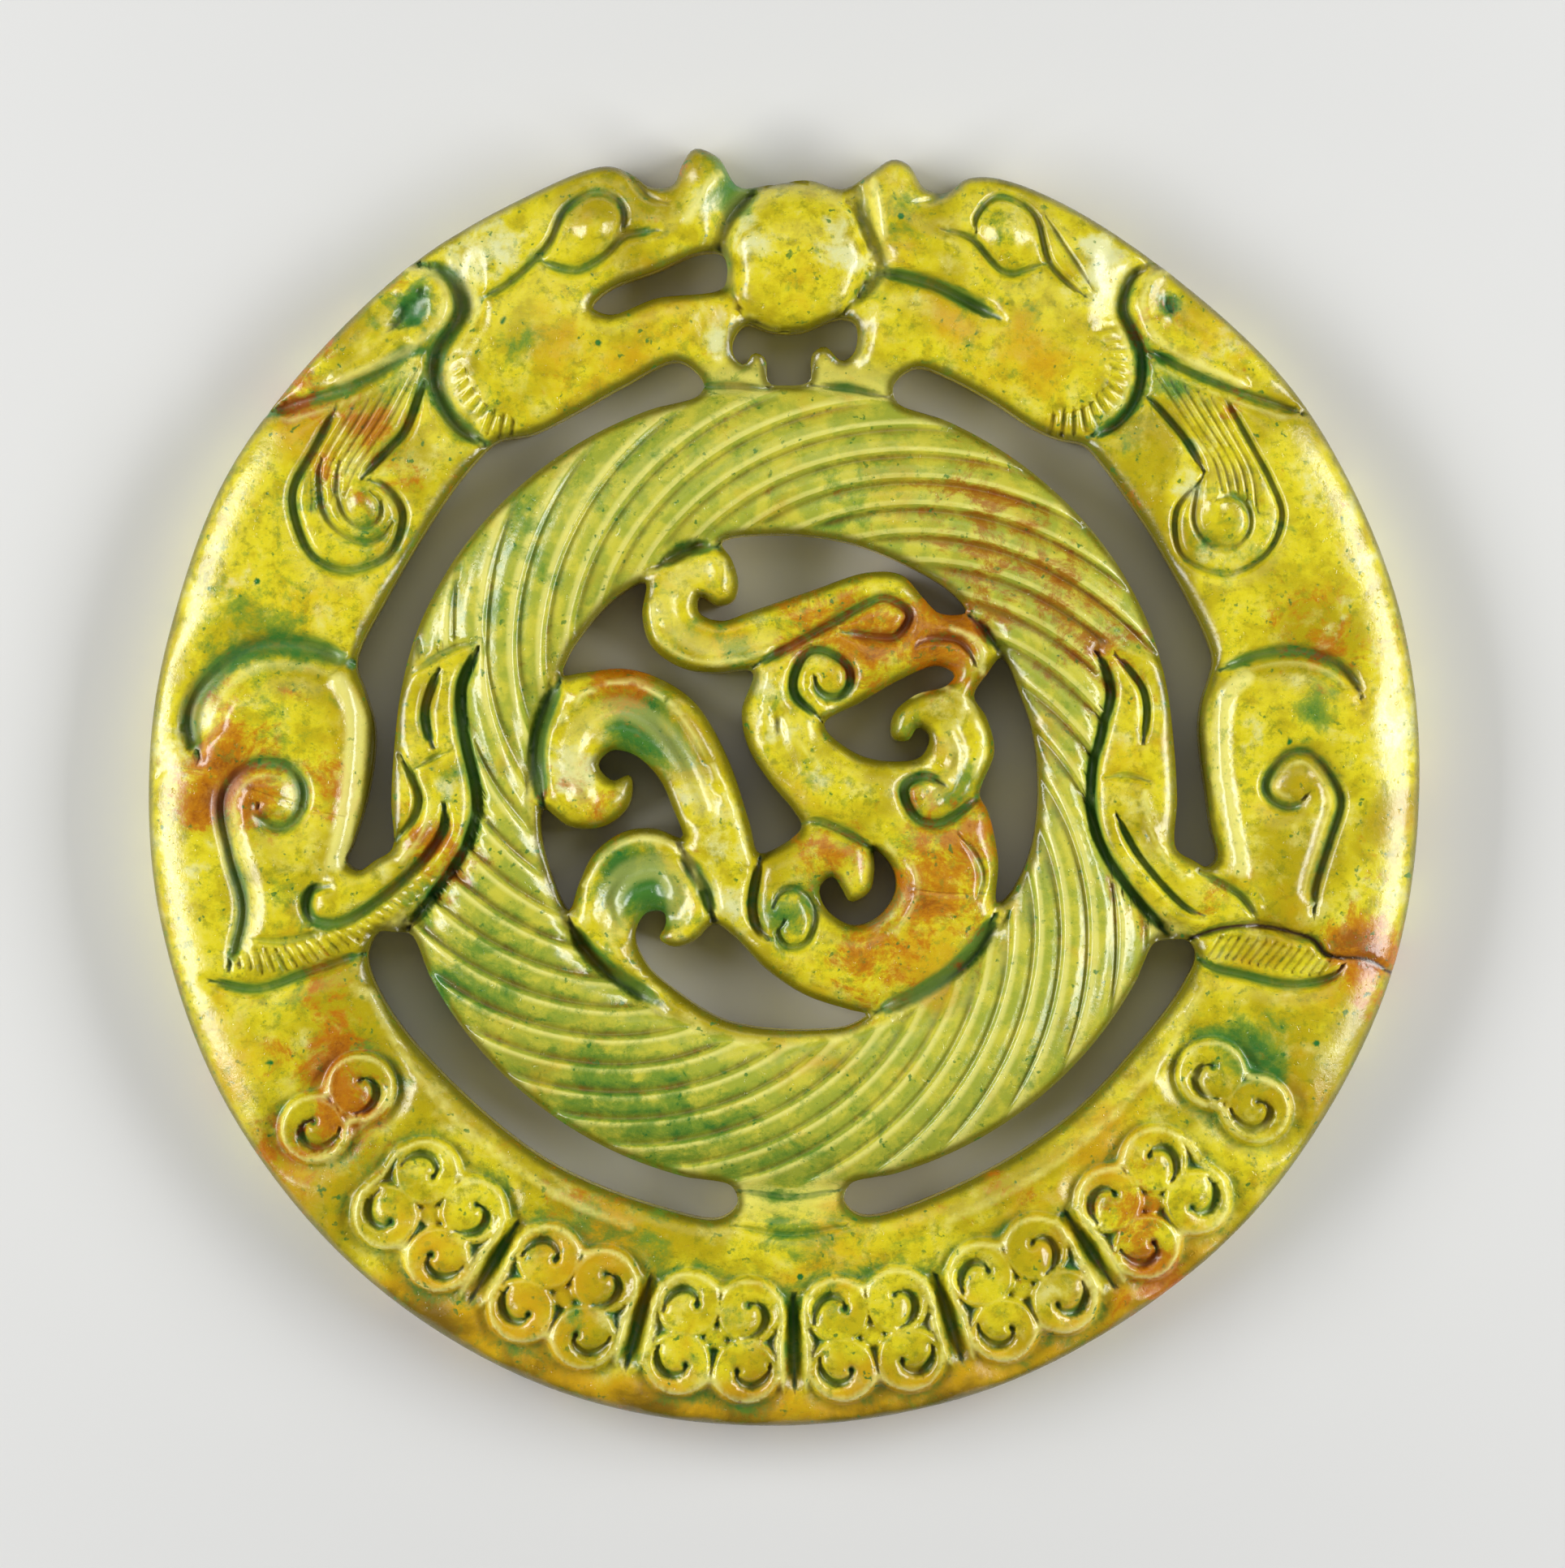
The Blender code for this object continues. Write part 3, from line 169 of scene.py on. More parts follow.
LIMB_GROOVES = (
    # left haunch, its spiral, cuff, arm and paw
    (1.6, 1.5, 1, (-33.9, 9.7), (-35.6, 10.5), (-37.5, 11.1), (-41.4, 11.1), (-43.3, 10.1), (-45, 8.6), (-46.2, 6.85),
     (-46.6, 5.1), (-45.9, 2.4)),
    (1.1, 1.0, -1, (-43.5, -14.1), (-42.4, -9.5), (-43.4, -5.3), (-44.1, -1.6), (-43.8, -0.1), (-42.9, 1.1),
     (-41.6, 1.85), (-40.2, 2), (-38.9, 1.65), (-37.9, 0.5), (-37.7, -0.85), (-38.3, -2.4), (-39.5, -3.1),
     (-40.7, -2.6), (-41.2, -1.4)),
    (0.9, 1.1, 0, (-45, -15.1), (-41.4, -15.75), (-37.5, -14.5), (-33.1, -13)),
    (0.75, 0.6, 0, (-41.8, -11.8), (-39.5, -12), (-35.6, -11), (-31.8, -8.7), (-29.85, -7.2), (-28.3, -5.5),
     (-27.15, -3.7)),
    (0.95, 1.2, 0, (-35.6, -7.7), (-37, -8), (-37.4, -9.1), (-36.9, -10.3), (-35.6, -10.65), (-34.1, -10.3),
     (-30.8, -8), (-27.5, -4.7), (-26.6, -3), (-26.6, -1.4)),
    (1.0, 1.4, 0, (-23.9, 10.9), (-25.3, 8), (-25.2, 4.5), (-24.3, 0.7), (-24.1, -1.2), (-24.4, -3.15), (-25.2, -5.1),
     (-27.7, -8.7), (-29.5, -11)),
    (0.95, 1.1, 0, (-27, 9.35), (-28.1, 6.3), (-28, 4.7), (-27.5, 3.2)),
    (0.7, 0.6, 0, (-28.9, 1.5), (-27.6, 2.3), (-26.2, 2.9)),
    (0.8, 0.9, 0, (-30, 2.5), (-28.6, -0.5), (-28.9, -2.2), (-30.4, -4.1)),
    (0.7, 0.6, 0, (-24.1, 11.4), (-26, 10.9), (-29.1, 9)),
    # right haunch, its spiral, cuff, arm and paw
    (0.95, 1.2, -1, (34.1, 9.2), (37.4, 10.5), (40.5, 10.7), (43.4, 9.7), (44.6, 8.5), (45.2, 7)),
    (0.85, 1.0, 1, (41.5, -9.8), (41.6, -7.9), (42.7, -4.2), (43.6, -1.15), (43.15, 0.3), (41.5, 2.5), (40.3, 2.85),
     (39.05, 2.4), (37.7, 0.3), (38, -0.7), (39.05, -1.4), (40.1, -1.4), (40.9, -0.6)),
    (0.8, 1.1, 0, (32.3, -13.25), (33.7, -14.1), (35.8, -14.6), (39.9, -15.4), (43.15, -14.7), (43.8, -13.9)),
    (0.8, 0.8, 0, (31.9, -11.8), (33.7, -11.1), (35.4, -10.8), (38.4, -10.9), (39.9, -11.6), (41.5, -11.9),
     (42.5, -13.05), (43.6, -13.4)),
    (0.85, 1.3, 0, (24.5, 10.6), (25.6, 7.9), (25, 4.8), (24.1, 1.1), (24.2, -2.4), (24.7, -4.2), (26.7, -7.5),
     (30, -11.4)),
    (0.7, 1.0, 0, (25.9, 10.4), (27.15, 9.1), (28.1, 7.7), (28.4, 6), (28.1, 3.6)),
    (0.65, 1.0, 0, (26, -2.1), (26.95, -4), (28.2, -5.9), (31.5, -9.4), (32.9, -10)),
    (0.7, 0.6, 0, (25.1, 0.8), (26.9, 1), (28.6, 0.5)),
    (0.8, 0.8, 0, (32.5, -6.7), (34.3, -7.5), (36, -8.7), (37.2, -10.6)),
)
PHOENIX_GROOVES = (
    # where the bird leaves the rope: crest, tail, leaf, body and beak
    (1.3, 1.5, 0, (-9.9, 17.3), (-7.6, 18.7), (-5.3, 18.9)),
    (1.3, 1.5, 0, (-17.6, 8.3), (-18.5, 6.2), (-19.3, 3.3), (-19, -1.3)),
    (1.3, 1.7, 0, (-16.8, -10.6), (-14.85, -13.4), (-12.5, -15.1), (-9.6, -17)),
    (1.3, 1.5, 0, (7.2, -17.6), (11.1, -15.7), (14.5, -13.1), (16.6, -9.9)),
    (1.1, 1.1, 0, (14.6, 13.4), (16.8, 10.8)),
    # leaf from tail, eye, cheek spiral, beak
    (1.2, 1.6, 0, (-8.2, -4.6), (-7.15, -6.5), (-6.3, -7.8), (-5.6, -10.2)),
    (0.9, 1.1, 0, (-2.3, 9.6), (0.6, 11.15), (3.7, 12.85), (6.8, 14.6), (8, 14.85), (9.8, 13.6), (8.8, 11.9),
     (7.5, 11.8), (4.6, 12.2)),
    (0.85, 1.1, 0, (2.8, 5.5), (0.9, 7.15), (0.7, 8.4), (1.7, 10.5), (2.9, 10.8), (5, 9.5), (5.15, 8.2), (4.5, 7.3),
     (3.4, 7.15), (2.6, 7.7), (2.4, 8.7)),
    (0.8, 0.8, 0, (10.3, 11.15), (11.4, 11.7), (13.7, 11.5), (14.5, 10.7), (14.9, 9.8)),
    # breast curl, belly, small spiral
    (0.95, 1.2, 0, (12.6, 0.2), (11.4, 0.85), (10.15, 0.7), (9.4, 0), (9.7, -1.4), (10.6, -2.5), (12, -2.8),
     (13.4, -2.15), (15.3, -0.6)),
    (0.9, 1.0, 0, (1.4, -2.8), (2.6, -2.6), (5.2, -3.7), (7.1, -4.85)),
    (0.95, 1.3, 0, (-1.9, -5.6), (-2.5, -9.2), (-2.2, -10.7), (-1.2, -11.85)),
    (0.75, 0.8, 0, (-0.9, -9.4), (-0.3, -8.15), (0.8, -7.85), (1.7, -8.5), (2.3, -9.7), (2.3, -10.9), (1.6, -12.2),
     (0.2, -12.4), (-0.5, -11.4), (0, -10.5)),
    (0.7, 0.5, 0, (13.7, -3.7), (14.9, -5.1), (15.5, -6.8), (15.2, -8.6)),
)
TAB_GROOVES = (
    (0.6, 0.7, 0, (-3.6, -31.6), (0.6, -32.15), (4.3, -31.6)),
    (0.6, 0.6, 0, (-3.9, -34.3), (0.5, -35), (4.8, -34.3)),
    (0.75, 0.9, 0, (-6.8, 31.5), (-4, 31.6), (-1.2, 31.3)),
    (0.75, 0.9, 0, (2.2, 31.6), (5, 31.4), (8, 30.7)),
)

# Fine cracks and the old mended break: width, depth, then the line
CRACKS = (
    (0.36, 0.4, (31.9, -11.8), (33.7, -11.1), (37, -10.8), (41.5, -11.9), (42.5, -13.05), (45.4, -13.4),
     (46.6, -13.9), (48.6, -15.2)),
    (0.2, 0.12, (-49.6, 0.5), (-48.5, 1.5), (-45.6, 1.4)),
    (0.2, 0.12, (-41.6, -0.1), (-36.6, -1.8), (-34.5, -2.2)),
    (0.2, 0.14, (10, -7.9), (12.5, -8.2), (16.2, -8.3)),
)

# Raised ridges: half width, rise, then the line
RIDGES = (
    # round the dragons' ears
    (0.8, 0.36, (-29.6, 40.7), (-27.6, 40.4), (-26.6, 38.9), (-26.7, 37), (-28, 35.4), (-31, 33.6), (-35, 31.9)),
    (0.8, 0.36, (30.6, 40.7), (28.9, 40), (28.1, 38), (28.6, 35.8), (31.2, 33.8), (36, 31.6)),
    (0.9, 0.45, (-7.6, 44.5), (-6.4, 46.6), (-5.2, 48.1)),
    (0.9, 0.45, (7.8, 43.3), (7.4, 45.4), (7.1, 47.4)),
    (1.3, 0.6, (-34.9, 8.4), (-33.7, 6), (-33.7, 2.2), (-34.5, -3.35), (-35.2, -5.85)),
    (1.3, 0.6, (36.1, 8.7), (34.7, 7.3), (34.2, 2.3), (34.6, -0.5), (35.7, -6.3)),
    (0.6, 0.35, (-28.5, 0.7), (-27.8, -1.2), (-28.5, -3.9), (-30, -5.7)),
    (0.6, 0.35, (28.2, -0.3), (28.6, -3), (29.6, -5.3), (31.3, -7.1)),
    (0.6, 0.35, (-1.2, 8.7), (-1.5, 6.4), (-0.9, 3.6)),
    (0.6, 0.3, (-0.3, 7.6), (0.15, 5.3), (1.1, 3.6), (2.9, 1.6)),
    (0.6, 0.4, (-17.6, 5.2), (-15.6, 7.4), (-12.6, 8.3), (-9.4, 7), (-6.6, 3.6), (-4.2, -1.5), (-2.9, -5.6)),
    (0.6, 0.4, (-15.6, -7.6), (-13.6, -4.8), (-10.8, -3.9), (-8, -5), (-6.6, -7.8)),
    (0.55, 0.35, (-10.4, 14.4), (-9.6, 11.6), (-6.8, 9.9), (-3.6, 10), (-1.4, 10.8)),
    (0.55, 0.35, (10, 7.2), (12.2, 8), (14.6, 6.4), (15.6, 3.6), (15, 0.8)),
    (0.6, 0.35, (13.1, 12.5), (14.5, 11.9), (15.5, 10.85), (15.5, 9)),
    (0.6, 0.3, (-13.9, -9.7), (-13.8, -11.4), (-12.85, -13.1), (-9.9, -15.85)),
    (0.6, 0.35, (8, -4.6), (9.5, -5.5), (10.4, -7.5), (9.7, -10), (8.6, -11.4)),
    (0.9, 0.3, (-32.5, -16), (-29.5, -21.4), (-26, -25.6), (-22, -29), (-17.5, -32), (-12, -34.4)),
    (0.9, 0.3, (32.7, -15.8), (29.6, -21.2), (26, -25.4), (22, -28.8), (17.5, -31.7), (13, -33.8)),
    (0.5, 0.3, (-30.9, -24), (-32.5, -26), (-34.2, -27.5), (-35, -28.5)),
    (0.5, 0.3, (32.1, -22.5), (34.2, -25.2), (36.3, -27.1), (38.5, -26)),
)

# Hollows of plumes, ears and leaves: half width, depth, then the line
SCOOPS = (
    (2.0, 0.8, (-3, 46.6), (-4.6, 44.4), (-5, 42), (-4.7, 40)),
    (2.0, 0.8, (6.2, 46.8), (6.9, 43.8), (7.8, 41.2), (6.9, 39.3)),
    (1.5, 0.5, (-6.2, 37.6), (-5.8, 35.4), (-4.8, 33.6)),
    (1.4, 0.5, (6.6, 37.2), (6.1, 35.2), (5.4, 33.6)),
    (1.7, 0.5, (-25, 43), (-24.6, 40), (-24.7, 37)),
    (1.7, 0.5, (25.9, 42.4), (25.2, 40), (25, 36.8)),
    (1.3, 0.4, (-11.6, 41.4), (-9, 42), (-6.9, 43.2)),
    (1.3, 0.4, (12.4, 41.6), (10.4, 42.4), (8.8, 43.6)),
    (1.7, 0.9, (-1, 11.8), (-4, 11.1), (-6.6, 11.2), (-8.8, 12.8), (-9.2, 15), (-8, 16.7), (-6.3, 17.1)),
    (1.9, 1.1, (-6.4, -1.5), (-8.2, 2.6), (-10.4, 5.2), (-13, 6.2), (-15.6, 5), (-16.6, 2.4), (-15.8, -0.4)),
    (1.9, 1.2, (-13.3, -11), (-13.6, -8.6), (-12, -6.6), (-9.6, -6.3), (-8.4, -8.2), (-8.2, -10)),
    (1.4, 0.9, (12.8, 4.6), (13.4, 2.4), (12.9, 0.9), (11.6, -0.8)),
    (1.2, 0.5, (0.6, 1.4), (-0.7, 3.6), (-0.6, 5.2)),
    (1.2, 0.5, (-30.2, 36.4), (-33.4, 33.9), (-36.6, 31.9)),
    (1.2, 0.45, (30.6, 36.3), (33.6, 34.2), (36.8, 31.9)),
    (1.2, 0.5, (-41.5, 9), (-43.8, 7.4), (-44.8, 5)),
)

# Rows of short ticks: pitch, length, width, depth, slant in degrees from square, then the path
TICK_ROWS = (
    (0.88, 1.7, 0.4, 0.55, 12, (-26.3, 34.6), (-25.9, 32.8), (-25.3, 31.1), (-24.3, 29.7), (-23.1, 28.6),
     (-21.4, 27.8)),
    (0.88, 1.7, 0.4, 0.55, -12, (25.6, 36), (26.3, 33.9), (26.2, 31.6), (25, 29.8), (23, 28.7), (21, 28.4)),
    (0.85, 1.6, 0.4, 0.5, 20, (-42.8, -13.2), (-40, -13.4), (-37.3, -12.8), (-35, -11.9), (-32.3, -10.2),
     (-30, -8.4), (-28.2, -6.6)),
    (0.66, 1.9, 0.34, 0.5, -28, (33.8, -12.4), (36.4, -12.7), (39.6, -13.4), (42.4, -13.9)),
)

# Bundles of hair between two border lines: count, width, depth, left border, right border
HAIR = (
    (6, 0.34, 0.4, ((-28.2, 33.2), (-30.6, 28.6), (-33.2, 25), (-34.2, 22.8)),
     ((-33.4, 32), (-35.6, 28.8), (-37.3, 25.3), (-37.3, 21.6))),
    (5, 0.3, 0.35, ((28.7, 32.4), (31, 29), (33.2, 25.9), (34, 23.4)),
     ((33.2, 31.6), (35.4, 27.8), (37, 24.6), (37.4, 21.6))),
)

PEARL_CENTRE = (0.8, 41.7)

# Paws that lie over the rope: centre lines with half widths
PAWS = (
    ((-25.4, 10.4, 0.9), (-27.4, 8, 2.2), (-28, 4.5, 2.9), (-27.8, 0, 3.5), (-28.4, -3.5, 3.4), (-31, -7, 3.1),
     (-35, -9.6, 2.4)),
    ((25.8, 10.2, 1.1), (27.9, 8, 2.5), (28.1, 4.5, 3.2), (27.7, 0, 3.5), (28.6, -4, 3.3), (31, -7.4, 3.1),
     (35, -9, 2.4)),
)

# Swelling parts of the band: centre, radius across, rise
SWELLS = (
    ((-41.5, 4.5), 8.0, 0.7), ((-39.5, -4.5), 7.0, 0.5), ((41.5, 4.5), 8.0, 0.7), ((39.5, -4.5), 7.0, 0.5),
    ((-33.2, 22.2), 4.0, 0.6), ((34.2, 21.6), 4.2, 0.6), ((-14.8, 43.8), 1.9, 0.7), ((17.4, 43.5), 2.0, 0.7),
    ((-20, 33.5), 7.0, 0.5), ((20.5, 34), 7.0, 0.5), ((-33.1, 22.4), 1.0, 0.45), ((33.8, 22.1), 1.0, 0.45),
)

# The four curls of a scroll block, from its middle line: angle aside, radius, mouth angle, turn in degrees
SCROLL_CURLS = (
    (-3.3, 41.2, 222, -205), (3.3, 41.2, 242, 215), (-3.3, 45.7, 122, 215), (3.3, 45.7, 42, -205),
)
# The row of scroll blocks: how many, the angle from one to the next, and the angle of the row's middle
SCROLL_BLOCKS, SCROLL_PITCH, SCROLL_MIDDLE = 6, 16.25, 271.0
# The two-curl blocks that end the row on each side
END_CURLS = (
    (-33.2, -23.5, 230, 220), (-36.8, -26.7, 35, -290), (33.5, -22.4, 310, -220), (37.0, -25.2, 145, 290),
)

# The number of the strand at angle 0
FIRST_STRAND = -1.19
# How the rope's strands crowd and how their sweep swings round the ring: amount, phase in degrees
CROWDING = ((0.86, -8.8), (0.28, 156.0))
SWEEP_SWING = ((7.1, 36.5), (4.8, 160.0))
# Height across one strand, from one groove to the next, as shares
STRAND_PROFILE = ((0.0, 0.0), (0.07, 0.32), (0.14, 0.86), (0.21, 1.0), (0.34, 0.92), (0.5, 0.74), (0.58, 0.78),
                  (0.74, 0.5), (0.9, 0.14), (1.0, 0.0))
# Where a line of points runs along each strand
STRAND_PLACES = [across for across, _ in STRAND_PROFILE[:-1]]

# Stains in the stone: centre, radius in millimetres, strength
RUSSET_STAINS = (
    (43.5, -12.2, 1.8, 1.1), (46.6, -13.2, 1.6, 1.2), (45.4, -16.4, 1.8, 0.9), (33.4, -8.4, 2.0, 0.8),
    (-32.4, 28.4, 2.4, 0.9), (-35.6, 25, 2.0, 0.9), (-38.6, 30, 2.2, 0.8), (35.8, 30.5, 3.0, 0.5), (29, 36, 2.0, 0.5),
    (-43.5, 3.8, 4.0, 1.0), (-46, -1, 3.0, 0.9), (-35, 0, 2.6, 0.9), (-41.2, -1.5, 3.2, 1.0), (-28, -4, 2.6, 0.8),
    (-37, 31.5, 3.6, 0.6), (-36, -19.5, 4.6, 1.0), (-34.5, -26.3, 3.6, 1.0), (-40.5, -29, 3.5, 0.7),
    (-16.5, -32.5, 3.6, 0.6), (42, 12, 4.2, 0.8), (45.5, -12.3, 3.2, 0.9), (29, -38.5, 4.4, 1.0), (27, -33, 2.6, 0.8),
    (17, -32, 2.8, 0.7), (20, 16, 7.0, 0.85), (14, 23, 5.0, 0.7), (25, 9, 4.0, 0.6), (12.3, -8, 4.4, 1.2),
    (7, -13, 3.8, 1.0), (7, 11.8, 4.4, 1.1), (1, 13, 2.8, 0.7), (12.6, 11.4, 3.0, 0.85), (13.5, 8.6, 2.2, 0.4),
    (-12.8, -4.3, 1.8, 0.7), (3.6, -4.6, 2.0, 0.8), (-15.6, -0.8, 2.4, 0.7), (15, -3, 2.6, 0.7),
    (-13.5, 7.6, 2.8, 0.95), (-12, 8.6, 2.4, 0.8), (9.5, -1.5, 2.6, 0.6), (2.5, -5.5, 2.6, 0.6),
    (-26, -6.5, 2.4, 0.7), (-29.5, 24, 3.4, 0.6), (28, -9, 2.6, 0.5), (47.5, -7, 3.0, 0.4), (-2, -44.5, 3.0, 0.3),
)
# Green stains; the last four, on the lower band, are painted shade that darkens it
GREEN_STAINS_AND_LOW_SHADE = (
    (-41.5, 12.6, 4.4, 1.0), (-10.6, 4.3, 3.2, 1.0), (-11.2, -8, 3.6, 1.1), (-6, -27, 6.0, 0.9), (5, -28, 5.0, 0.6),
    (-14, -24, 6.0, 1.1), (-22, -14, 6.0, 0.9), (37, -19.8, 3.2, 1.0), (0.8, -33.6, 3.4, 0.8), (-5, 46.5, 2.8, 0.9),
    (-22, 33.2, 2.4, 0.6), (-33, 21.5, 4.4, 0.7), (35, 19.5, 4.0, 0.6), (-19.5, 20, 5.5, 0.7), (-24, 14, 4.5, 0.6),
    (1, -10, 3.4, 0.7), (-1.2, 6.5, 3.0, 0.5), (13.8, -0.5, 2.6, 0.7), (-40.5, -2, 2.2, 0.6), (2, -38.5, 3.0, 0.5),
    (4.5, 22.5, 4.0, 0.9), (-3, -49, 2.4, 0.4), (12.5, 30.5, 3.2, 0.4), (-28.5, 37.8, 2.4, 0.8),
    (-6.5, 12.4, 2.0, 0.9), (-3.4, 10.8, 1.8, 0.8), (2.5, 1.6, 2.0, 0.7), (9.6, 4.4, 1.6, 0.9),
    (-9.5, 14.6, 1.6, 0.5), (-1, -9.6, 2.2, 0.7), (9, -4.4, 1.6, 0.6), (-30.5, 31.6, 2.2, 0.9), (-37, 30.4, 1.8, 0.7),
    (-32, 38, 2.6, 0.6), (-13, 27, 3.6, 0.8), (-4, 29.6, 3.6, 0.7), (-27, -16, 3.4, 0.8), (20, -22, 4.0, 0.5),
    (-29, -8, 3.0, 0.5), (34.5, 30, 2.4, 0.5), (-12.4, 44.4, 2.2, 0.4), (9, 45.4, 2.2, 0.6), (17, 44, 2.4, 0.5),
    (28.5, 33, 2.2, 0.6), (-11.8, 4.8, 2.6, 1.1), (-8.4, 2.2, 1.8, 1.0), (-12, -6.8, 2.4, 1.2), (-9.4, -9, 1.6, 0.6),
    (-39.5, 4.5, 2.4, 0.7), (-39, -9.6, 2.2, 0.6), (-22.5, 29, 2.6, 0.5), (-20.4, 35.2, 1.8, 0.6), (26, 28, 3.0, 0.5),
    (-38.6, -16.6, 3.0, 0.5), (15.5, 35, 3.0, 0.4), (-25, 1, 4.0, 0.4), (-15.5, -33.8, 2.6, 0.7),
    (-10.5, -35.4, 2.4, 0.6), (8, -36, 2.6, 0.5), (-12, 6, 1.8, 0.8), (30.5, 31.8, 1.8, 0.9), (-3.6, 46.2, 1.3, 1.5),
    (7.2, 41.4, 1.8, 0.9), (30.1, 37.8, 0.8, 2.2), (-28.9, 38.2, 1.1, 1.6), (-4.8, 41, 1.2, 0.7), (33.2, 5, 2.6, 0.5),
    (43, 8.4, 2.0, 0.8), (41, 5.8, 1.8, 1.3), (-22, 5, 3.0, 0.4), (37, -20.5, 2.6, 0.6), (-31.5, -31.5, 3.0, 0.5),
    (-19, -37.5, 2.4, 0.6), (-15.5, -42.5, 2.6, 0.5), (-6, -42, 3.0, 0.4),
)
# Pale clouds, where the stone is nearly cream, and painted highlights on the rim's left and right sides, the pearl's
# flanks and beside the dragons' cheeks
PALE_CLOUDS_AND_HIGHLIGHTS = (
    (-24.8, 41.4, 2.4, 1.0), (-24.6, 37.6, 1.8, 0.9), (-21.8, 42.8, 2.2, 0.7), (25, 40, 2.6, 0.9),
    (-5.4, 46, 1.6, 0.9), (-5.6, 36.4, 1.6, 0.8), (6.2, 36.2, 1.4, 0.6), (-2.7, 44.2, 1.2, 0.8), (-3, 42, 1.2, 0.8),
    (4.5, 44, 1.3, 0.8), (4.9, 41.8, 1.4, 0.9), (0.9, 42, 4.6, 0.42), (-16.4, 0.9, 2.2, 1.2), (-5.4, -4.6, 2.0, 1.0),
    (-4, -9, 1.7, 1.0), (-7, -1, 1.7, 0.7), (-2.2, 8.4, 1.5, 0.8), (-0.4, 4.4, 1.4, 0.8), (2.8, 1.6, 1.7, 0.6),
    (-14.6, -8.6, 1.4, 0.6), (9.4, -8.8, 1.5, 0.9), (7.2, -10.6, 1.5, 0.8), (13.2, 3, 1.7, 0.9), (14.6, -6, 1.4, 0.7),
    (24.6, 42.4, 1.8, 0.9), (33, 27, 2.2, 0.7), (32, 22.6, 2.0, 0.7), (35.4, 34.6, 2.0, 0.6), (-5.2, 34.4, 1.2, 0.9),
    (5.8, 34.8, 1.1, 0.8), (-26.4, 0.4, 1.2, 1.1), (27.4, 5, 1.4, 0.5), (30.6, 0, 1.4, 0.5), (33.8, -3, 1.8, 0.5),
    (-26.6, 28.2, 1.4, 0.6), (-48.5, 3, 4.0, 0.5), (-48.3, -6, 4.0, 0.5), (48.6, 6, 5.0, 0.7), (47.5, 15, 4.4, 0.6),
    (44.5, 22.5, 4.0, 0.5), (48, -8, 4.0, 0.4), (-42.4, 6.6, 1.6, 0.6), (-36.8, -10.8, 2.0, 0.5),
    (34.5, 16, 2.4, 0.4), (36, 4, 1.8, 0.5), (-44.8, 17, 3.4, 0.4),
)
# Golden clouds on the dragons' cheeks and the bird's belly; along the lower rim and band they are painted shade
AMBER_CLOUDS_AND_RIM_SHADE = (
    (-27, -42.5, 4.0, 1.2), (-20, -46.5, 4.0, 1.4), (-11.5, -49.2, 4.0, 1.6), (-3, -50.4, 4.0, 1.7),
    (5.5, -50.3, 4.0, 1.7), (14, -48.8, 4.0, 1.6), (22, -45.6, 4.0, 1.3), (29, -41.4, 4.0, 1.1), (34, -37, 4.0, 0.8),
    (-30, -40.5, 5.0, 0.9), (-39, -32, 4.0, 0.8), (42, -25, 4.0, 0.6), (45, -14, 3.4, 0.8), (4, -36.5, 4.0, 0.5),
    (-15, -35.5, 4.5, 0.8), (-17, 33, 4.5, 0.8), (20, 33, 4.5, 0.8), (-43.5, -24, 4.0, 0.5), (-38, 30.5, 3.4, 0.7),
    (1, 40.5, 3.0, 0.2), (-9, 40, 3.0, 0.6), (12, 37, 3.0, 0.6), (11, -14, 3.4, 1.0), (-8.5, 3, 3.0, 0.7),
    (24, -30, 3.6, 0.7), (-35.5, 3, 3.4, 0.6), (0, -1, 3.0, 0.4), (-5, 12.6, 2.4, 0.5), (35, 33, 3.0, 0.5),
    (20, -33, 3.0, 0.6), (-20.5, -38, 4.0, 0.4),
)
# Colours that run through the stone, with painted highlights and shade among them, by the name of the share that
# carries them
STAINS = {"green": GREEN_STAINS_AND_LOW_SHADE, "russet": RUSSET_STAINS, "amber": AMBER_CLOUDS_AND_RIM_SHADE, "cream": PALE_CLOUDS_AND_HIGHLIGHTS}
# Dark specks large enough to list one by one
SPECKS = (
    (-22, 36.6), (-1.2, -36), (1.3, -38.3), (-40.3, -21.5), (41.6, -20), (9.1, 44.8), (30.1, 37.7), (-41.3, 16.1),
    (21.8, -33.4), (-12.2, -44.6), (39.5, 3.7), (-14.5, 34.8),
)

# Width of the rim's slope, and how far it falls to its edge
RIM_SLOPE, RIM_FALL = 5.0, 1.9
# Width and fall of the rounded edges: the rim's, the phoenix's, and those beside the slots
RIM_ROUND, BIRD_ROUND, SLOT_ROUND = (0.7, 0.5), (2.0, 1.8), (1.6, 1.1)
# Half the square that holds the whole pattern
FIELD = 52
# Spaces between points of the mesh: rim, openings, beside grooves, over the scrolls, open face and back
RIM_STEP, HOLE_STEP, GROOVE_STEP, SCROLL_STEP, FACE_STEP, BACK_STEP = 0.42, 0.38, 0.36, 0.24, 0.44, 2.5
# How much of a stain shows on the sides and the back
BACK_STAIN = 0.7

# Noises of the stone: scale, detail, roughness, distortion
NOISES = {
    "cloud": (95, 4, 0.55, 0), "mottle": (420, 6, 0.62, 0.2), "patch": (330, 6, 0.72, 0.3),
    "freckle": (820, 7, 0.75, 0.2), "gold": (170, 5, 0.6, 0.3), "rust": (300, 7, 0.78, 0.4),
    "grain": (2600, 3, 0.7, 0), "small_specks": (1500, 2, 0.5, 0), "dust": (1100, 4, 0.7, 0),
    "pits": (1900, 2, 0.5, 0),
}
# Polish of the stone
POLISH = {
    "IOR": 1.61, "Coat Weight": 0.1, "Coat Roughness": 0.12, "Subsurface Weight": 0.12,
    "Subsurface Radius": (1.0, 0.8, 0.25), "Subsurface Scale": 0.0012,
}

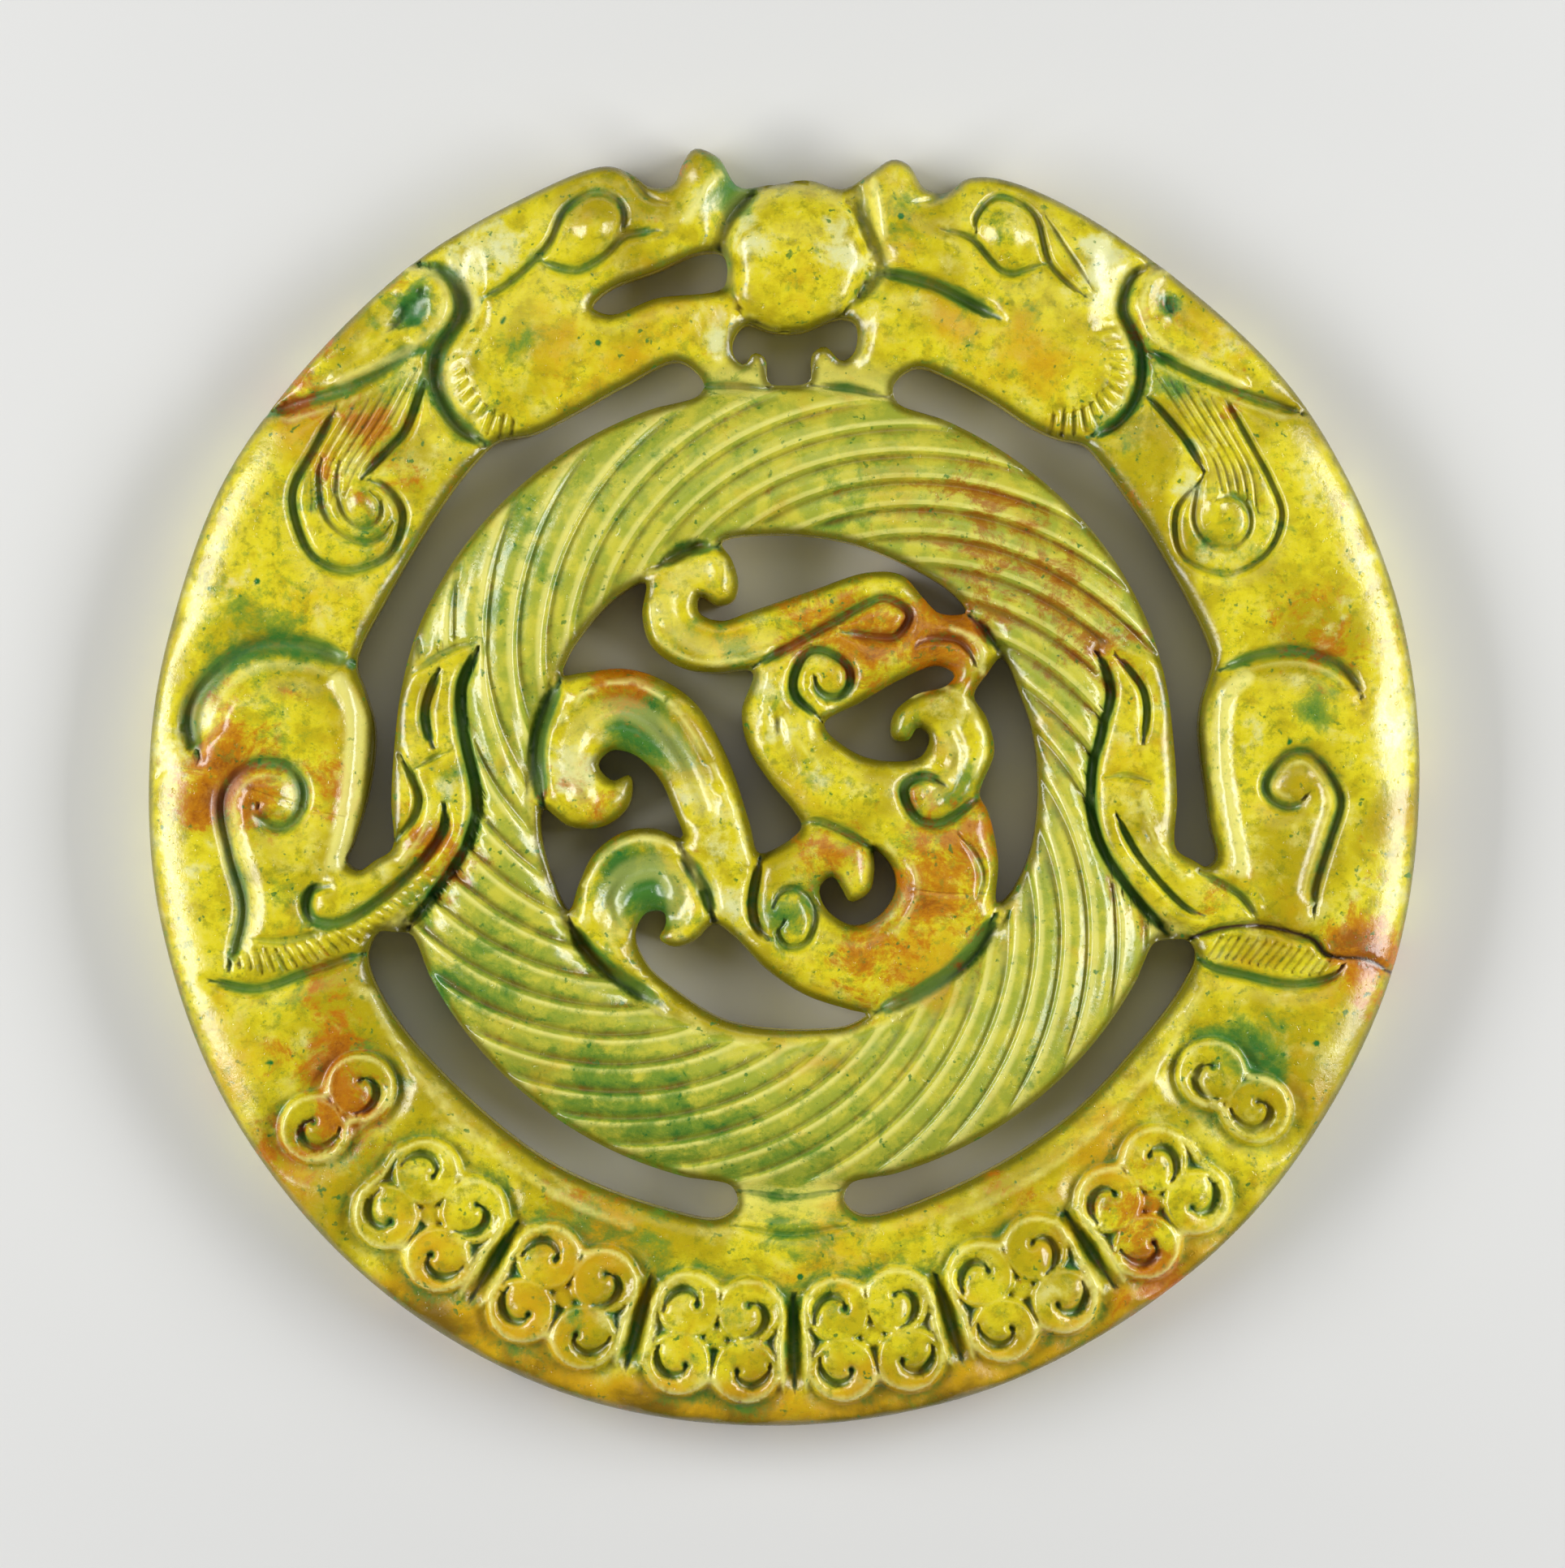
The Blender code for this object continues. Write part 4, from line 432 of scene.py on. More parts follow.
# Lights: name, place in metres, turns about X and Y in degrees, size, and the stage's power for it
LIGHTS = (
    ("left_light", (-0.4, 0.02, 0.22), (0, -61), (0.14, 0.44), "side_power"),
    ("right_light", (0.4, 0.02, 0.22), (0, 61), (0.14, 0.44), "side_power"),
    ("top_light", (0.0, 0.28, 0.42), (-33, 0), (0.5, 0.3), "top_power"),
)
# Half the floor's side in metres, and the camera's sensor in millimetres
FLOOR_HALF, SENSOR_WIDTH = 1.2, 36.0
# How far the camera stands aside from the disc's middle and lower than its view width asks, in metres
VIEW_OFFSET = (-0.00013, 0.00025, -0.0025)


def millimetres(sizes):
    """The disc's sizes in millimetres."""
    mm = SimpleNamespace(**{name: getattr(sizes, name) * 1000 for name in (
        "centre_radius", "rope_width", "slot_width", "band_width", "thickness", "band_drop", "phoenix_drop",
        "rope_edge_drop", "scroll_radius", "pearl_radius", "pearl_rise", "back_round")})
    mm.rope_outer = mm.centre_radius + mm.rope_width
    mm.band_inner = mm.rope_outer + mm.slot_width
    mm.rim = mm.band_inner + mm.band_width
    mm.strand_count = sizes.strand_count
    mm.strand_sweep = sizes.strand_sweep
    return mm


def place(points, mm):
    """Carry pattern points to the disc's own radii, in millimetres."""
    flat = np.asarray(points, float)[:, :2]
    radius = np.hypot(flat[:, 0], flat[:, 1])
    real = (0.0, mm.centre_radius, mm.rope_outer, mm.band_inner, mm.rim)
    outside = np.maximum(radius - PATTERN_RADII[-1], 0.0) * mm.rim / PATTERN_RADII[-1]
    moved = np.interp(radius, PATTERN_RADII, real) + outside
    return flat * (moved / np.maximum(radius, 1e-9))[:, None]


def distance_to(points, spot):
    """Distance from each point to one spot."""
    return np.hypot(*(points - spot).T)


def polar(pairs):
    """Points from angles in degrees and radii."""
    pairs = np.asarray(pairs, float)
    angle = np.radians(pairs[:, 0])
    return np.stack((pairs[:, 1] * np.cos(angle), pairs[:, 1] * np.sin(angle)), axis=1)


def curve(points, closed=False):
    """A centripetal Catmull-Rom curve through the points, ten pieces to a span."""
    knots = np.asarray(points, float)
    if closed:
        knots = np.vstack((knots[-1], knots, knots[0], knots[1]))
    else:
        knots = np.vstack((2 * knots[0] - knots[1], knots, 2 * knots[-1] - knots[-2]))
    share = np.arange(10)[:, None] / 10
    spans = []
    for first, start, end, last in zip(knots[:-3], knots[1:-2], knots[2:-1], knots[3:]):
        gaps = [math.sqrt(max(np.linalg.norm(b[:2] - a[:2]), 1e-6))
                for a, b in ((first, start), (start, end), (end, last))]
        slope_in = gaps[1] * ((start - first) / gaps[0] - (end - first) / (gaps[0] + gaps[1])
                              + (end - start) / gaps[1])
        slope_out = gaps[1] * ((end - start) / gaps[1] - (last - start) / (gaps[1] + gaps[2])
                               + (last - end) / gaps[2])
        cube = 2 * start - 2 * end + slope_in + slope_out
        square = -3 * start + 3 * end - 2 * slope_in - slope_out
        spans.append(((cube * share + square) * share + slope_in) * share + start)
    if not closed:
        spans.append(knots[-2][None, :])
    return np.vstack(spans)


def run_of(line):
    """How far along the line each of its points lies."""
    return np.concatenate(([0.0], np.cumsum(np.hypot(*np.diff(line[:, :2], axis=0).T))))


def spaced(line, step, closed=False):
    """The line divided again into equal steps, at least three."""
    if closed:
        line = closed_line(line)
    run = run_of(line)
    stops = np.linspace(0.0, run[-1], max(3, round(run[-1] / step)) + 1)
    if closed:
        stops = stops[:-1]
    return np.stack([np.interp(stops, run, column) for column in line.T], axis=1)


def slot(edge):
    """A slot's outline: its outer edge as given, closed by the rope's side, a little lower at the paws."""
    start, end = edge[-1][0], edge[0][0]
    side = np.linspace(start, end, max(2, round(abs(start - end) / 9)) + 2)
    inward = math.copysign(1.2, start - end)
    side[[0, -1]] += (-inward, inward)
    paw = np.exp(-((np.abs(90 - side) - 86) / 16) ** 2)
    rope_side = np.stack((side, PATTERN_RADII[2] + 0.1 - 0.8 * paw), axis=1)
    return curve(np.vstack((polar(edge), polar(rope_side))), closed=True)


def openings(mm):
    """Every opening as (outline in millimetres, whether it lies in the middle)."""
    outlines = [(slot(edge), False) for edge in SLOTS]
    for group, in_middle in ((BAND_OPENINGS, False), (MIDDLE_OPENINGS, True)):
        outlines += [(curve(points, closed=True), in_middle) for points in group]
    return [(place(line, mm), in_middle) for line, in_middle in outlines]


def nearest(points, line, reach):
    """Distance from each point to the line, up to reach, and the line's columns at the nearest spot.

    A last column is added: 1 where the point lies left of the line, -1 where it lies right.
    """
    best = np.full(len(points), float(reach))
    found = np.zeros((len(points), line.shape[1] + 1))
    chunk = 16
    for start in range(0, len(line) - 1, chunk):
        piece = line[start:start + chunk + 1]
        low = piece[:, :2].min(axis=0) - reach
        high = piece[:, :2].max(axis=0) + reach
        near = np.nonzero(np.all((points > low) & (points < high), axis=1))[0]
        if not len(near):
            continue
        step = piece[1:, :2] - piece[:-1, :2]
        away = points[near][:, None, :] - piece[None, :-1, :2]
        share = np.clip((away * step).sum(axis=2) / np.maximum((step ** 2).sum(axis=1), 1e-12), 0.0, 1.0)
        distance = np.linalg.norm(away - share[:, :, None] * step, axis=2)
        pick = distance.argmin(axis=1)
        row = np.arange(len(near))
        closer = distance[row, pick] < best[near]
        best[near[closer]] = distance[row, pick][closer]
        blend = share[row, pick][:, None]
        value = piece[:-1][pick] * (1 - blend) + piece[1:][pick] * blend
        arm = away[row, pick]
        side = np.sign(step[pick, 0] * arm[:, 1] - step[pick, 1] * arm[:, 0])
        found[near[closer]] = np.column_stack((value, side))[closer]
    return best, found


def counter_clockwise(line):
    """The closed line, turned round if it runs clockwise."""
    area = np.sum(line[:, 0] * np.roll(line[:, 1], -1) - line[:, 1] * np.roll(line[:, 0], -1))
    return line if area > 0 else line[::-1]


def closed_line(line):
    """The line with its first point again at its end."""
    return np.vstack((line, line[:1]))


def smooth(value):
    """Zero to one with soft ends."""
    value = np.clip(value, 0.0, 1.0)
    return value * value * (3 - 2 * value)


def round_over(distance, width, drop):
    """How far a quarter-round edge lies under its face, by the distance from the edge."""
    share = np.clip(distance / width, 0.0, 1.0)
    return drop * (1 - np.sqrt(1 - (1 - share) ** 2))


def beside(line, offset):
    """The line moved sideways."""
    step = np.gradient(line[:, :2], axis=0)
    normal = np.stack((-step[:, 1], step[:, 0]), axis=1)
    return line[:, :2] + offset * normal / np.maximum(np.linalg.norm(normal, axis=1), 1e-9)[:, None]


def inside(points, loop):
    """Whether each point lies inside a closed line."""
    x, y = points[:, 0], points[:, 1]
    result = np.zeros(len(points), bool)
    for (x0, y0), (x1, y1) in zip(loop, np.roll(loop, -1, axis=0)):
        if y0 == y1:
            continue
        rows = (y0 > y) != (y1 > y)
        result[rows] ^= x[rows] < (x1 - x0) * (y[rows] - y0) / (y1 - y0) + x0
    return result


def in_material(points, rim, holes, margin):
    """Whether each point lies in the jade, at least a margin from any edge."""
    keep = inside(points, rim)
    for hole, _ in holes:
        keep &= ~inside(points, hole)
    for line in (rim, *(hole for hole, _ in holes)):
        keep &= nearest(points, closed_line(line), margin)[0] >= margin
    return keep


# The rope's strands

def swing(angle, parts):
    """A slow change round the ring, as a sum of one wave and two."""
    return sum(amount * np.cos(turns * angle - math.radians(phase))
               for turns, (amount, phase) in enumerate(parts, start=1))


def strand_number(angle, share, mm):
    """The strand at an angle and a share of the way in across the rope; whole numbers are grooves."""
    guess = angle - mm.strand_sweep * share
    start = angle - (mm.strand_sweep + np.radians(swing(guess, SWEEP_SWING))) * share
    return mm.strand_count * start / (2 * math.pi) + FIRST_STRAND + swing(start, CROWDING)


def strand_lines(mm):
    """Lines along each strand, at the places between one groove and the next."""
    angles = np.linspace(-1.6 * math.pi, 3.2 * math.pi, 1400)
    shares = 0.5 - 0.5 * np.cos(math.pi * np.linspace(0.1, 0.9, 34))
    wanted = np.add.outer(np.arange(mm.strand_count), STRAND_PLACES).ravel()
    angle = np.array([np.interp(wanted, strand_number(angles, share, mm), angles) for share in shares])
    radius = (mm.rope_outer - mm.rope_width * shares)[:, None]
    return list(np.stack((radius * np.cos(angle), radius * np.sin(angle)), axis=2).transpose(1, 0, 2))


def rope_share(points, mm):
    """Share of the way across the rope, 0 at its outer edge and 1 at its inner one."""
    return (mm.rope_outer - np.hypot(points[:, 0], points[:, 1])) / mm.rope_width


def rope_bow(share):
    """The dome of the rope across its width, from 0 at its edges to 1."""
    return np.sqrt(np.clip(1 - np.abs(2 * share - 1) ** 2.3, 0.0, 1.0))


def paw_share(points, mm):
    """One on the paws that lie over the rope, zero beside them, with a soft edge."""
    paw = np.zeros(len(points))
    reach = 6.0
    for line in PAWS:
        spine = curve(line)
        distance, found = nearest(points, np.column_stack((place(spine, mm), spine[:, 2])), reach)
        paw = np.maximum(paw, smooth((found[:, 2] - distance) / 0.8 + 0.5) * (distance < reach))
    return paw


# The scroll blocks

def block_middles():
    """The angle of each block's middle line, in degrees."""
    return [SCROLL_MIDDLE + (block - (SCROLL_BLOCKS - 1) / 2) * SCROLL_PITCH for block in range(SCROLL_BLOCKS)]


def scroll_centres(mm):
    """Every curl as (centre, mouth angle, turn)."""
    curls = []
    for middle in block_middles():
        for aside, radius, mouth, turn in SCROLL_CURLS:
            curls.append((place(polar([(middle + aside, radius)]), mm)[0], mouth + middle - 270.0, turn))
    for across, up, mouth, turn in END_CURLS:
        curls.append((place([(across, up)], mm)[0], mouth, turn))
    return curls


def spiral(centre, mouth, turn, radii):
    """A line that enters at the mouth angle and winds through the turn, between two radii."""
    share = np.linspace(0.0, 1.0, 34)
    angle = np.radians(mouth + turn * share)
    radius = radii[0] + (radii[1] - radii[0]) * share ** 0.85
    return np.stack((centre[0] + radius * np.cos(angle), centre[1] + radius * np.sin(angle)), axis=1)


def scroll_groove(curl, size):
    """The line of a curl's groove: it winds in from the curl's mouth to a pit beside the knob."""
    centre, mouth, turn = curl
    return spiral(centre, mouth + 0.12 * turn, 0.9 * turn, (0.88 * size, 0.27 * size))


def scroll_grooves(mm):
    """The groove of every curl, narrow beside its knob."""
    return [(0.8, 0.95, 0, 0.75, scroll_groove(curl, mm.scroll_radius)) for curl in scroll_centres(mm)]


def scroll_rims(mm):
    """The thin raised ridges along both sides of each separator, which also get a painted highlight."""
    rims = []
    for *_, line in scroll_separators(mm):
        rims += [(0.42, 0.35, beside(spaced(line, 0.4), side)) for side in (-0.95, 0.95)]
    return rims


def scroll_separators(mm):
    """The straight cuts between the scroll blocks."""
    lines = []
    for gap in range(1, SCROLL_BLOCKS):
        angle = SCROLL_MIDDLE + (gap - SCROLL_BLOCKS / 2) * SCROLL_PITCH
        lines.append((0.95, 1.1, 0, 0.85, place(polar([(angle, 40.0), (angle, 43.5), (angle, 46.9)]), mm)))
    return lines


def scroll_relief(points, mm):
    """Height that the scroll blocks add, how green their low places are, and how strong the painted highlight on
    their rims is.

    A block's outline is a soft sum of its round curls and a box between them.
    """
    size = mm.scroll_radius
    sharpness = 2.4
    blend = np.zeros(len(points))
    closest = np.full(len(points), 9.0)
    pit = np.zeros(len(points))
    for curl in scroll_centres(mm):
        distance = distance_to(points, curl[0])
        blend += np.exp(-sharpness * (distance - 1.3 * size))
        closest = np.minimum(closest, distance / size)
        pit = np.maximum(pit, smooth(1 - distance_to(points, scroll_groove(curl, size)[-1]) / 0.6))
    pad = np.zeros(len(points))
    for middle in block_middles():
        away = points - place(polar([(middle, 43.4)]), mm)[0]
        turned = math.radians(middle)
        out = np.abs(away @ np.array((math.cos(turned), math.sin(turned))))
        aside = np.abs(away @ np.array((-math.sin(turned), math.cos(turned))))
        blend += np.exp(-sharpness * np.maximum(aside - 5.25, out - 2.4))
        pad = np.maximum(pad, smooth(3.5 * (1.0 - np.maximum(out, aside))))
    edge = -np.log(np.maximum(blend, 1e-9)) / sharpness
    ditch = np.where(edge > 0, smooth(1 - edge / 1.4), smooth(1 + edge / 0.45))
    rim = np.exp(-((edge + 0.5) / 0.22) ** 2)
    dome = np.sqrt(np.clip(1 - (closest / 1.15) ** 2, 0.0, 1.0))
    curl_rim = np.exp(-((closest - 0.97) / 0.09) ** 2)
    gap = smooth((closest - 1.0) / 0.16) * smooth(-1.6 * edge - 0.6)
    raised = 0.5 * dome + 0.16 * rim + 0.1 * curl_rim
    height = raised - 0.6 * ditch - 0.35 * pit - 0.5 * gap * (1 - 0.8 * pad) - 0.12
    low = np.maximum(np.maximum(0.5 * ditch, pit), 0.85 * gap * (1 - pad))
    return height * smooth((1.6 - edge) / 0.6), low, np.maximum(rim, 0.55 * curl_rim)


# Lines of the carving

def tick_lines(mm):
    """Short ticks in rows, each as (width, depth, line)."""
    ticks = []
    for pitch, tick_length, width, depth, slant, *path in TICK_ROWS:
        line = spaced(place(curve(path), mm), pitch)
        step = np.gradient(line, axis=0)
        heading = np.arctan2(step[:, 1], step[:, 0]) + math.pi / 2 + math.radians(slant)
        reach = 0.5 * tick_length * np.stack((np.cos(heading), np.sin(heading)), axis=1)
        ticks += [(width, depth, np.array((middle - arm, middle, middle + arm))) for middle, arm in zip(line, reach)]
    return ticks


def hair_lines(mm):
    """Bundles of hair, each hair as (width, depth, line)."""
    hairs = []
    for count, width, depth, left, right in HAIR:
        first, last = curve(left), curve(right)
        for share in (np.arange(count) + 0.5) / count:
            hairs.append((width, depth, place(first * (1 - share) + last * share, mm)))
    return hairs


def tapered(line):
    """The line with a third column: how full its width is, less towards both ends."""
    run = run_of(line)
    return np.column_stack((line, 0.4 + 0.6 * smooth(np.minimum(run, run[-1] - run) / 2.0)))


def groove_lines(mm):
    """Every groove as (width, depth, lean, strength of its stain, line), in millimetres."""
    grooves = []
    for group in (DRAGON_GROOVES, LIMB_GROOVES, PHOENIX_GROOVES, TAB_GROOVES):
        for width, depth, lean, *points in group:
            grooves.append((width, depth, lean, min(1.0, 0.25 + 0.55 * depth), place(curve(points), mm)))
    grooves += scroll_grooves(mm) + scroll_separators(mm)
    return [(*groove, tapered(line)) for *groove, line in grooves]


def drawn(lines, mm):
    """Lines of the pattern given as (width, depth, points), carried to the disc."""
    return [(width, depth, place(curve(points), mm)) for width, depth, *points in lines]


def cut_away(points, grooves, fine):
    """Depth that the grooves take away, how far into a groove each point lies, and the painted highlight along its
    edges.
    """
    deep, soft, stain, edge = np.zeros((4, len(points)))
    for width, depth, lean, tint, line in grooves:
        reach = 2.6 * width
        distance, found = nearest(points, line, reach)
        reached = distance < reach
        full, side = found[:, 2], found[:, -1]
        ratio = distance / (width * np.maximum(full, 0.4))
        low = depth * (0.45 + 0.55 * full) * reached
        on_slope = (side * lean > 0) & reached
        open_end = smooth((full - 0.4) / 0.5)
        slope = np.clip(1 - ratio / 1.8, 0.0, 1.0) ** 1.3 * open_end
        core = np.clip(1 - (ratio / 0.66) ** 3, 0.0, 1.0)
        deep = np.maximum(deep, low * np.where(on_slope, slope, core))
        soft = np.maximum(soft, 0.42 * low * smooth(1 - ratio / 2.5))
        stain = np.maximum(stain, tint * smooth((0.85 - ratio) / 0.5) * reached)
        # painted highlight: a pale lip beside the groove, or a pale band down its sloping side
        lip = 0.35 * np.exp(-((ratio - 0.82) / 0.2) ** 2) * min(1.0, depth)
        slant = 0.8 * smooth(1.8 - ratio) * smooth(1.4 * ratio - 0.4) * open_end
        edge = np.maximum(edge, np.where(on_slope, slant, lip) * reached)
    for width, depth, line in fine:
        distance, _ = nearest(points, line, width)
        core = np.clip(1 - (distance / (0.8 * width)) ** 2, 0.0, 1.0)
        deep = np.maximum(deep, depth * core)
        stain = np.maximum(stain, 0.25 * core)
    return np.maximum(deep + 0.6 * soft, soft), stain, edge * (1 - stain)


def soft_lines(points, lines):
    """The height of soft-edged lines given as (half width, height, line), the highest over each point."""
    height = np.zeros(len(points))
    for half, rise, line in lines:
        distance, _ = nearest(points, line, half)
        height = np.maximum(height, rise * smooth(1 - distance / half))
    return height


def stain_share(points, stains, mm):
    """Sum of soft round stains over each point."""
    total = np.zeros(len(points))
    for across, up, radius, strength in stains:
        centre = place([(across, up)], mm)[0]
        total += strength * np.exp(-((points - centre) ** 2).sum(axis=1) / radius ** 2)
    return total


def band_height(points, rim_distance, mm):
    """Height of the outer band with its swelling parts, its pearl and the slope to its rim."""
    band = np.full(len(points), mm.thickness - mm.band_drop)
    for centre, size, rise in SWELLS:
        band += rise * smooth(1.15 * (1 - distance_to(points, place([centre], mm)[0]) / size))
    pearl = distance_to(points, place([PEARL_CENTRE], mm)[0]) / mm.pearl_radius
    dome = mm.thickness + 0.1 - 1.5 * mm.pearl_rise * (1 - np.sqrt(np.clip(1 - pearl ** 2, 0.0, 1.0)))
    band = np.where(pearl < 1, dome, band) - 0.5 * np.exp(-((pearl - 1.03) / 0.09) ** 2)
    shoulder = np.maximum(1 - rim_distance / RIM_SLOPE, 0.0)
    return band - (RIM_FALL * shoulder ** 2 + round_over(rim_distance, *RIM_ROUND))


def edge_falls(points, holes):
    """How far the face falls beside the slots and beside the phoenix's openings, and how near an edge is, for the
    painted shade there.
    """
    falls = {True: np.zeros(len(points)), False: np.zeros(len(points))}
    brink = np.zeros(len(points))
    for hole, in_middle in holes:
        width, drop = BIRD_ROUND if in_middle else SLOT_ROUND
        distance, _ = nearest(points, closed_line(hole), width)
        fall = 0.5 * round_over(distance, width, drop) + 0.5 * drop * (1 - distance / width) ** 2
        falls[in_middle] = np.maximum(falls[in_middle], fall)
        brink = np.maximum(brink, smooth(1 - distance / 1.1))
    return falls[False], falls[True], brink


def face_relief(points, rim, holes, carving, mm):
    """Height of the carved face over each point, and the shares that its colours follow."""
    full = mm.thickness
    radius = np.hypot(points[:, 0], points[:, 1])
    rim_distance, _ = nearest(points, closed_line(rim), RIM_SLOPE)
    slot_fall, bird_fall, brink = edge_falls(points, holes)
    bow = rope_bow(rope_share(points, mm))
    paw = paw_share(points, mm)
    in_band = smooth((radius - mm.rope_outer) / mm.slot_width)
    in_bird = smooth((mm.centre_radius + 0.5 - radius) / 0.9)
    scrolls, scroll_low, scroll_rim = scroll_relief(points, mm)
    band = band_height(points, rim_distance, mm) - slot_fall + scrolls
    height = (full - mm.rope_edge_drop * (1 - bow)) * (1 - in_band) + band * in_band
    height = height * (1 - in_bird) + (full - mm.phoenix_drop - bird_fall) * in_bird
    height = np.maximum(height, height * (1 - paw) + (full - 0.12 - slot_fall) * paw)
    lowered, groove, edge = cut_away(points, carving.grooves, carving.fine)
    hollow = soft_lines(points, carving.scoops)
    ridge = soft_lines(points, carving.ridges)
    height += ridge - hollow - lowered
    crack = np.zeros(len(points))
    for width, depth, line in carving.cracks:
        distance, _ = nearest(points, line, 3 * width)
        crack = np.maximum(crack, min(1.0, 0.3 + 2 * depth) * smooth(1 - distance / (1.2 * width)))
        height -= depth * smooth(1 - distance / width)
    open_rope = (1 - in_band) * (1 - in_bird) * (1 - paw)
    worn = 0.84 + 0.16 * np.cos(2 * np.arctan2(points[:, 1], points[:, 0]) - math.pi / 2)
    return height, {
        "groove": np.maximum(groove, scroll_low * in_band),
        "hollow": hollow,
        # painted highlight on raised ridges, groove lips and scroll rims
        "ridge": np.maximum(np.maximum(1.3 * ridge, 0.55 * edge), 0.5 * scroll_rim * in_band),
        # painted shade beside every opening and along the rim
        "brink": np.maximum(brink, 0.8 * smooth(1 - rim_distance / 1.0)),
        "rope": open_rope,
        "strand_fade": worn * open_rope * smooth(bow * 1.5 - 0.1),
        "crack": crack,
        "green": 0.9 * scroll_low * in_band,
        "speck": stain_share(points, [(*speck, 0.3, 1.0) for speck in SPECKS], mm),
    }


# The fine mesh

class PointStore:
    """Points of the face, kept apart by a least gap, with the edges that have to stay."""

    def __init__(self, cell):
        self.cell = cell
        self.points = []
        self.edges = []
        self.cells = {}

    def clear_of(self, x, y, gap):
        reach = math.ceil(gap / self.cell)
        column, row = int(x // self.cell), int(y // self.cell)
        for i in range(column - reach, column + reach + 1):
            for j in range(row - reach, row + reach + 1):
                for other in self.cells.get((i, j), ()):
                    if math.hypot(self.points[other][0] - x, self.points[other][1] - y) < gap:
                        return False
        return True

    def add(self, x, y):
        index = len(self.points)
        self.points.append((x, y))
        self.cells.setdefault((int(x // self.cell), int(y // self.cell)), []).append(index)
        return index

    def add_loop(self, line):
        first = len(self.points)
        for x, y in line.tolist():
            self.add(x, y)
        count = len(line)
        self.edges += [(first + i, first + (i + 1) % count) for i in range(count)]
        return range(first, first + count)

    def add_free(self, points, gap):
        for x, y in points.tolist():
            if self.clear_of(x, y, gap):
                self.add(x, y)

    def add_joined(self, line, keep, gap):
        """Add a line's kept points and join those that follow each other."""
        before = None
        for (x, y), kept in zip(line.tolist(), keep):
            index = self.add(x, y) if kept and self.clear_of(x, y, gap) else None
            if index is not None and before is not None:
                self.edges.append((before, index))
            before = index


def lattice(low, high, step):
    """A plain three-way lattice of points over a box."""
    ups = np.arange(low[1], high[1], step * 0.866)
    acrosses = np.arange(low[0], high[0], step)
    x = acrosses[None, :] + 0.5 * step * (np.arange(len(ups))[:, None] % 2)
    y = np.broadcast_to(ups[:, None], x.shape)
    return np.stack((x.ravel(), y.ravel()), axis=1)


def edge_rows(rim, holes, shares):
    """Points beside every edge, at shares of the width of its rounding."""
    rows = []
    for share in shares:
        rows.append(beside(closed_line(rim), share * 3.0))
        for hole, in_middle in holes:
            rows.append(beside(closed_line(hole), -share * (BIRD_ROUND if in_middle else SLOT_ROUND)[0]))
    return np.vstack(rows)


def groove_rows(grooves, offsets, step):
    """Points along the grooves, at offsets given as shares of their width."""
    rows = []
    for width, *_, line in grooves:
        bottom = spaced(line[:, :2], step)
        rows += [beside(bottom, offset * width) if offset else bottom for offset in offsets]
    return np.vstack(rows)


def scroll_fill(mm):
    """Closer points over the scroll blocks."""
    points = lattice((-42, -52), (42, -18), SCROLL_STEP)
    near = [distance_to(points, centre) < mm.scroll_radius * 1.4 for centre, _, _ in scroll_centres(mm)]
    return points[np.any(near, axis=0)]


def fill_face(rim, holes, carving, mm):
    """Points of the face, most needed first, and the rings of points along its edges."""
    store = PointStore(0.16)
    rings = [store.add_loop(line) for line in (rim, *(hole for hole, _ in holes))]

    def scatter(points, margin, gap):
        """Add the points that keep a margin from every edge and a gap from earlier points."""
        store.add_free(points[in_material(points, rim, holes, margin)], gap)

    scatter(edge_rows(rim, holes, (0.05, 0.18)), 0.05, 0.05)
    scatter(groove_rows(carving.grooves, (0.0, -0.3, 0.3, -0.6, 0.6), GROOVE_STEP), 0.12, 0.11)
    scatter(groove_rows(carving.fine, (0.0, -0.8, 0.8), 0.3), 0.12, 0.11)
    scatter(groove_rows(carving.cracks, (0.0, -1.0, 1.0), 0.5), 0.12, 0.09)
    strands = strand_lines(mm)
    points = np.vstack(strands)
    on_rope = in_material(points, rim, holes, 0.2) & (paw_share(points, mm) < 0.6)
    for line, keep in zip(strands, on_rope.reshape(len(strands), -1)):
        store.add_joined(line, keep, 0.1)
    scatter(edge_rows(rim, holes, (0.42, 0.8)), 0.2, 0.24)
    scatter(groove_rows(carving.grooves, (-0.95, 0.95, -1.5, 1.5), GROOVE_STEP), 0.2, 0.2)
    scatter(scroll_fill(mm), 0.2, 0.17)
    scatter(lattice((-FIELD, -FIELD), (FIELD, FIELD), FACE_STEP), 0.25, 0.3)
    return store, rings


def triangles(store, rim, holes):
    """Triangles of the jade between the stored points: points, triangles, and where each stored point went."""
    result = delaunay_2d_cdt([Vector(point) for point in store.points], store.edges, [], 0, 1e-5)
    flat = np.array([tuple(vertex) for vertex in result[0]])
    faces = np.array([face for face in result[2] if len(face) == 3])
    middle = flat[faces].mean(axis=1)
    keep = inside(middle, rim)
    for hole, _ in holes:
        keep &= ~inside(middle, hole)
    faces = faces[keep]
    a, b, c = flat[faces].transpose(1, 0, 2)
    area = (b[:, 0] - a[:, 0]) * (c[:, 1] - a[:, 1]) - (b[:, 1] - a[:, 1]) * (c[:, 0] - a[:, 0])
    faces[area < 0] = faces[area < 0][:, ::-1]
    where = np.zeros(len(store.points), int)
    for index, sources in enumerate(result[3]):
        where[list(sources)] = index
    return flat, faces, where


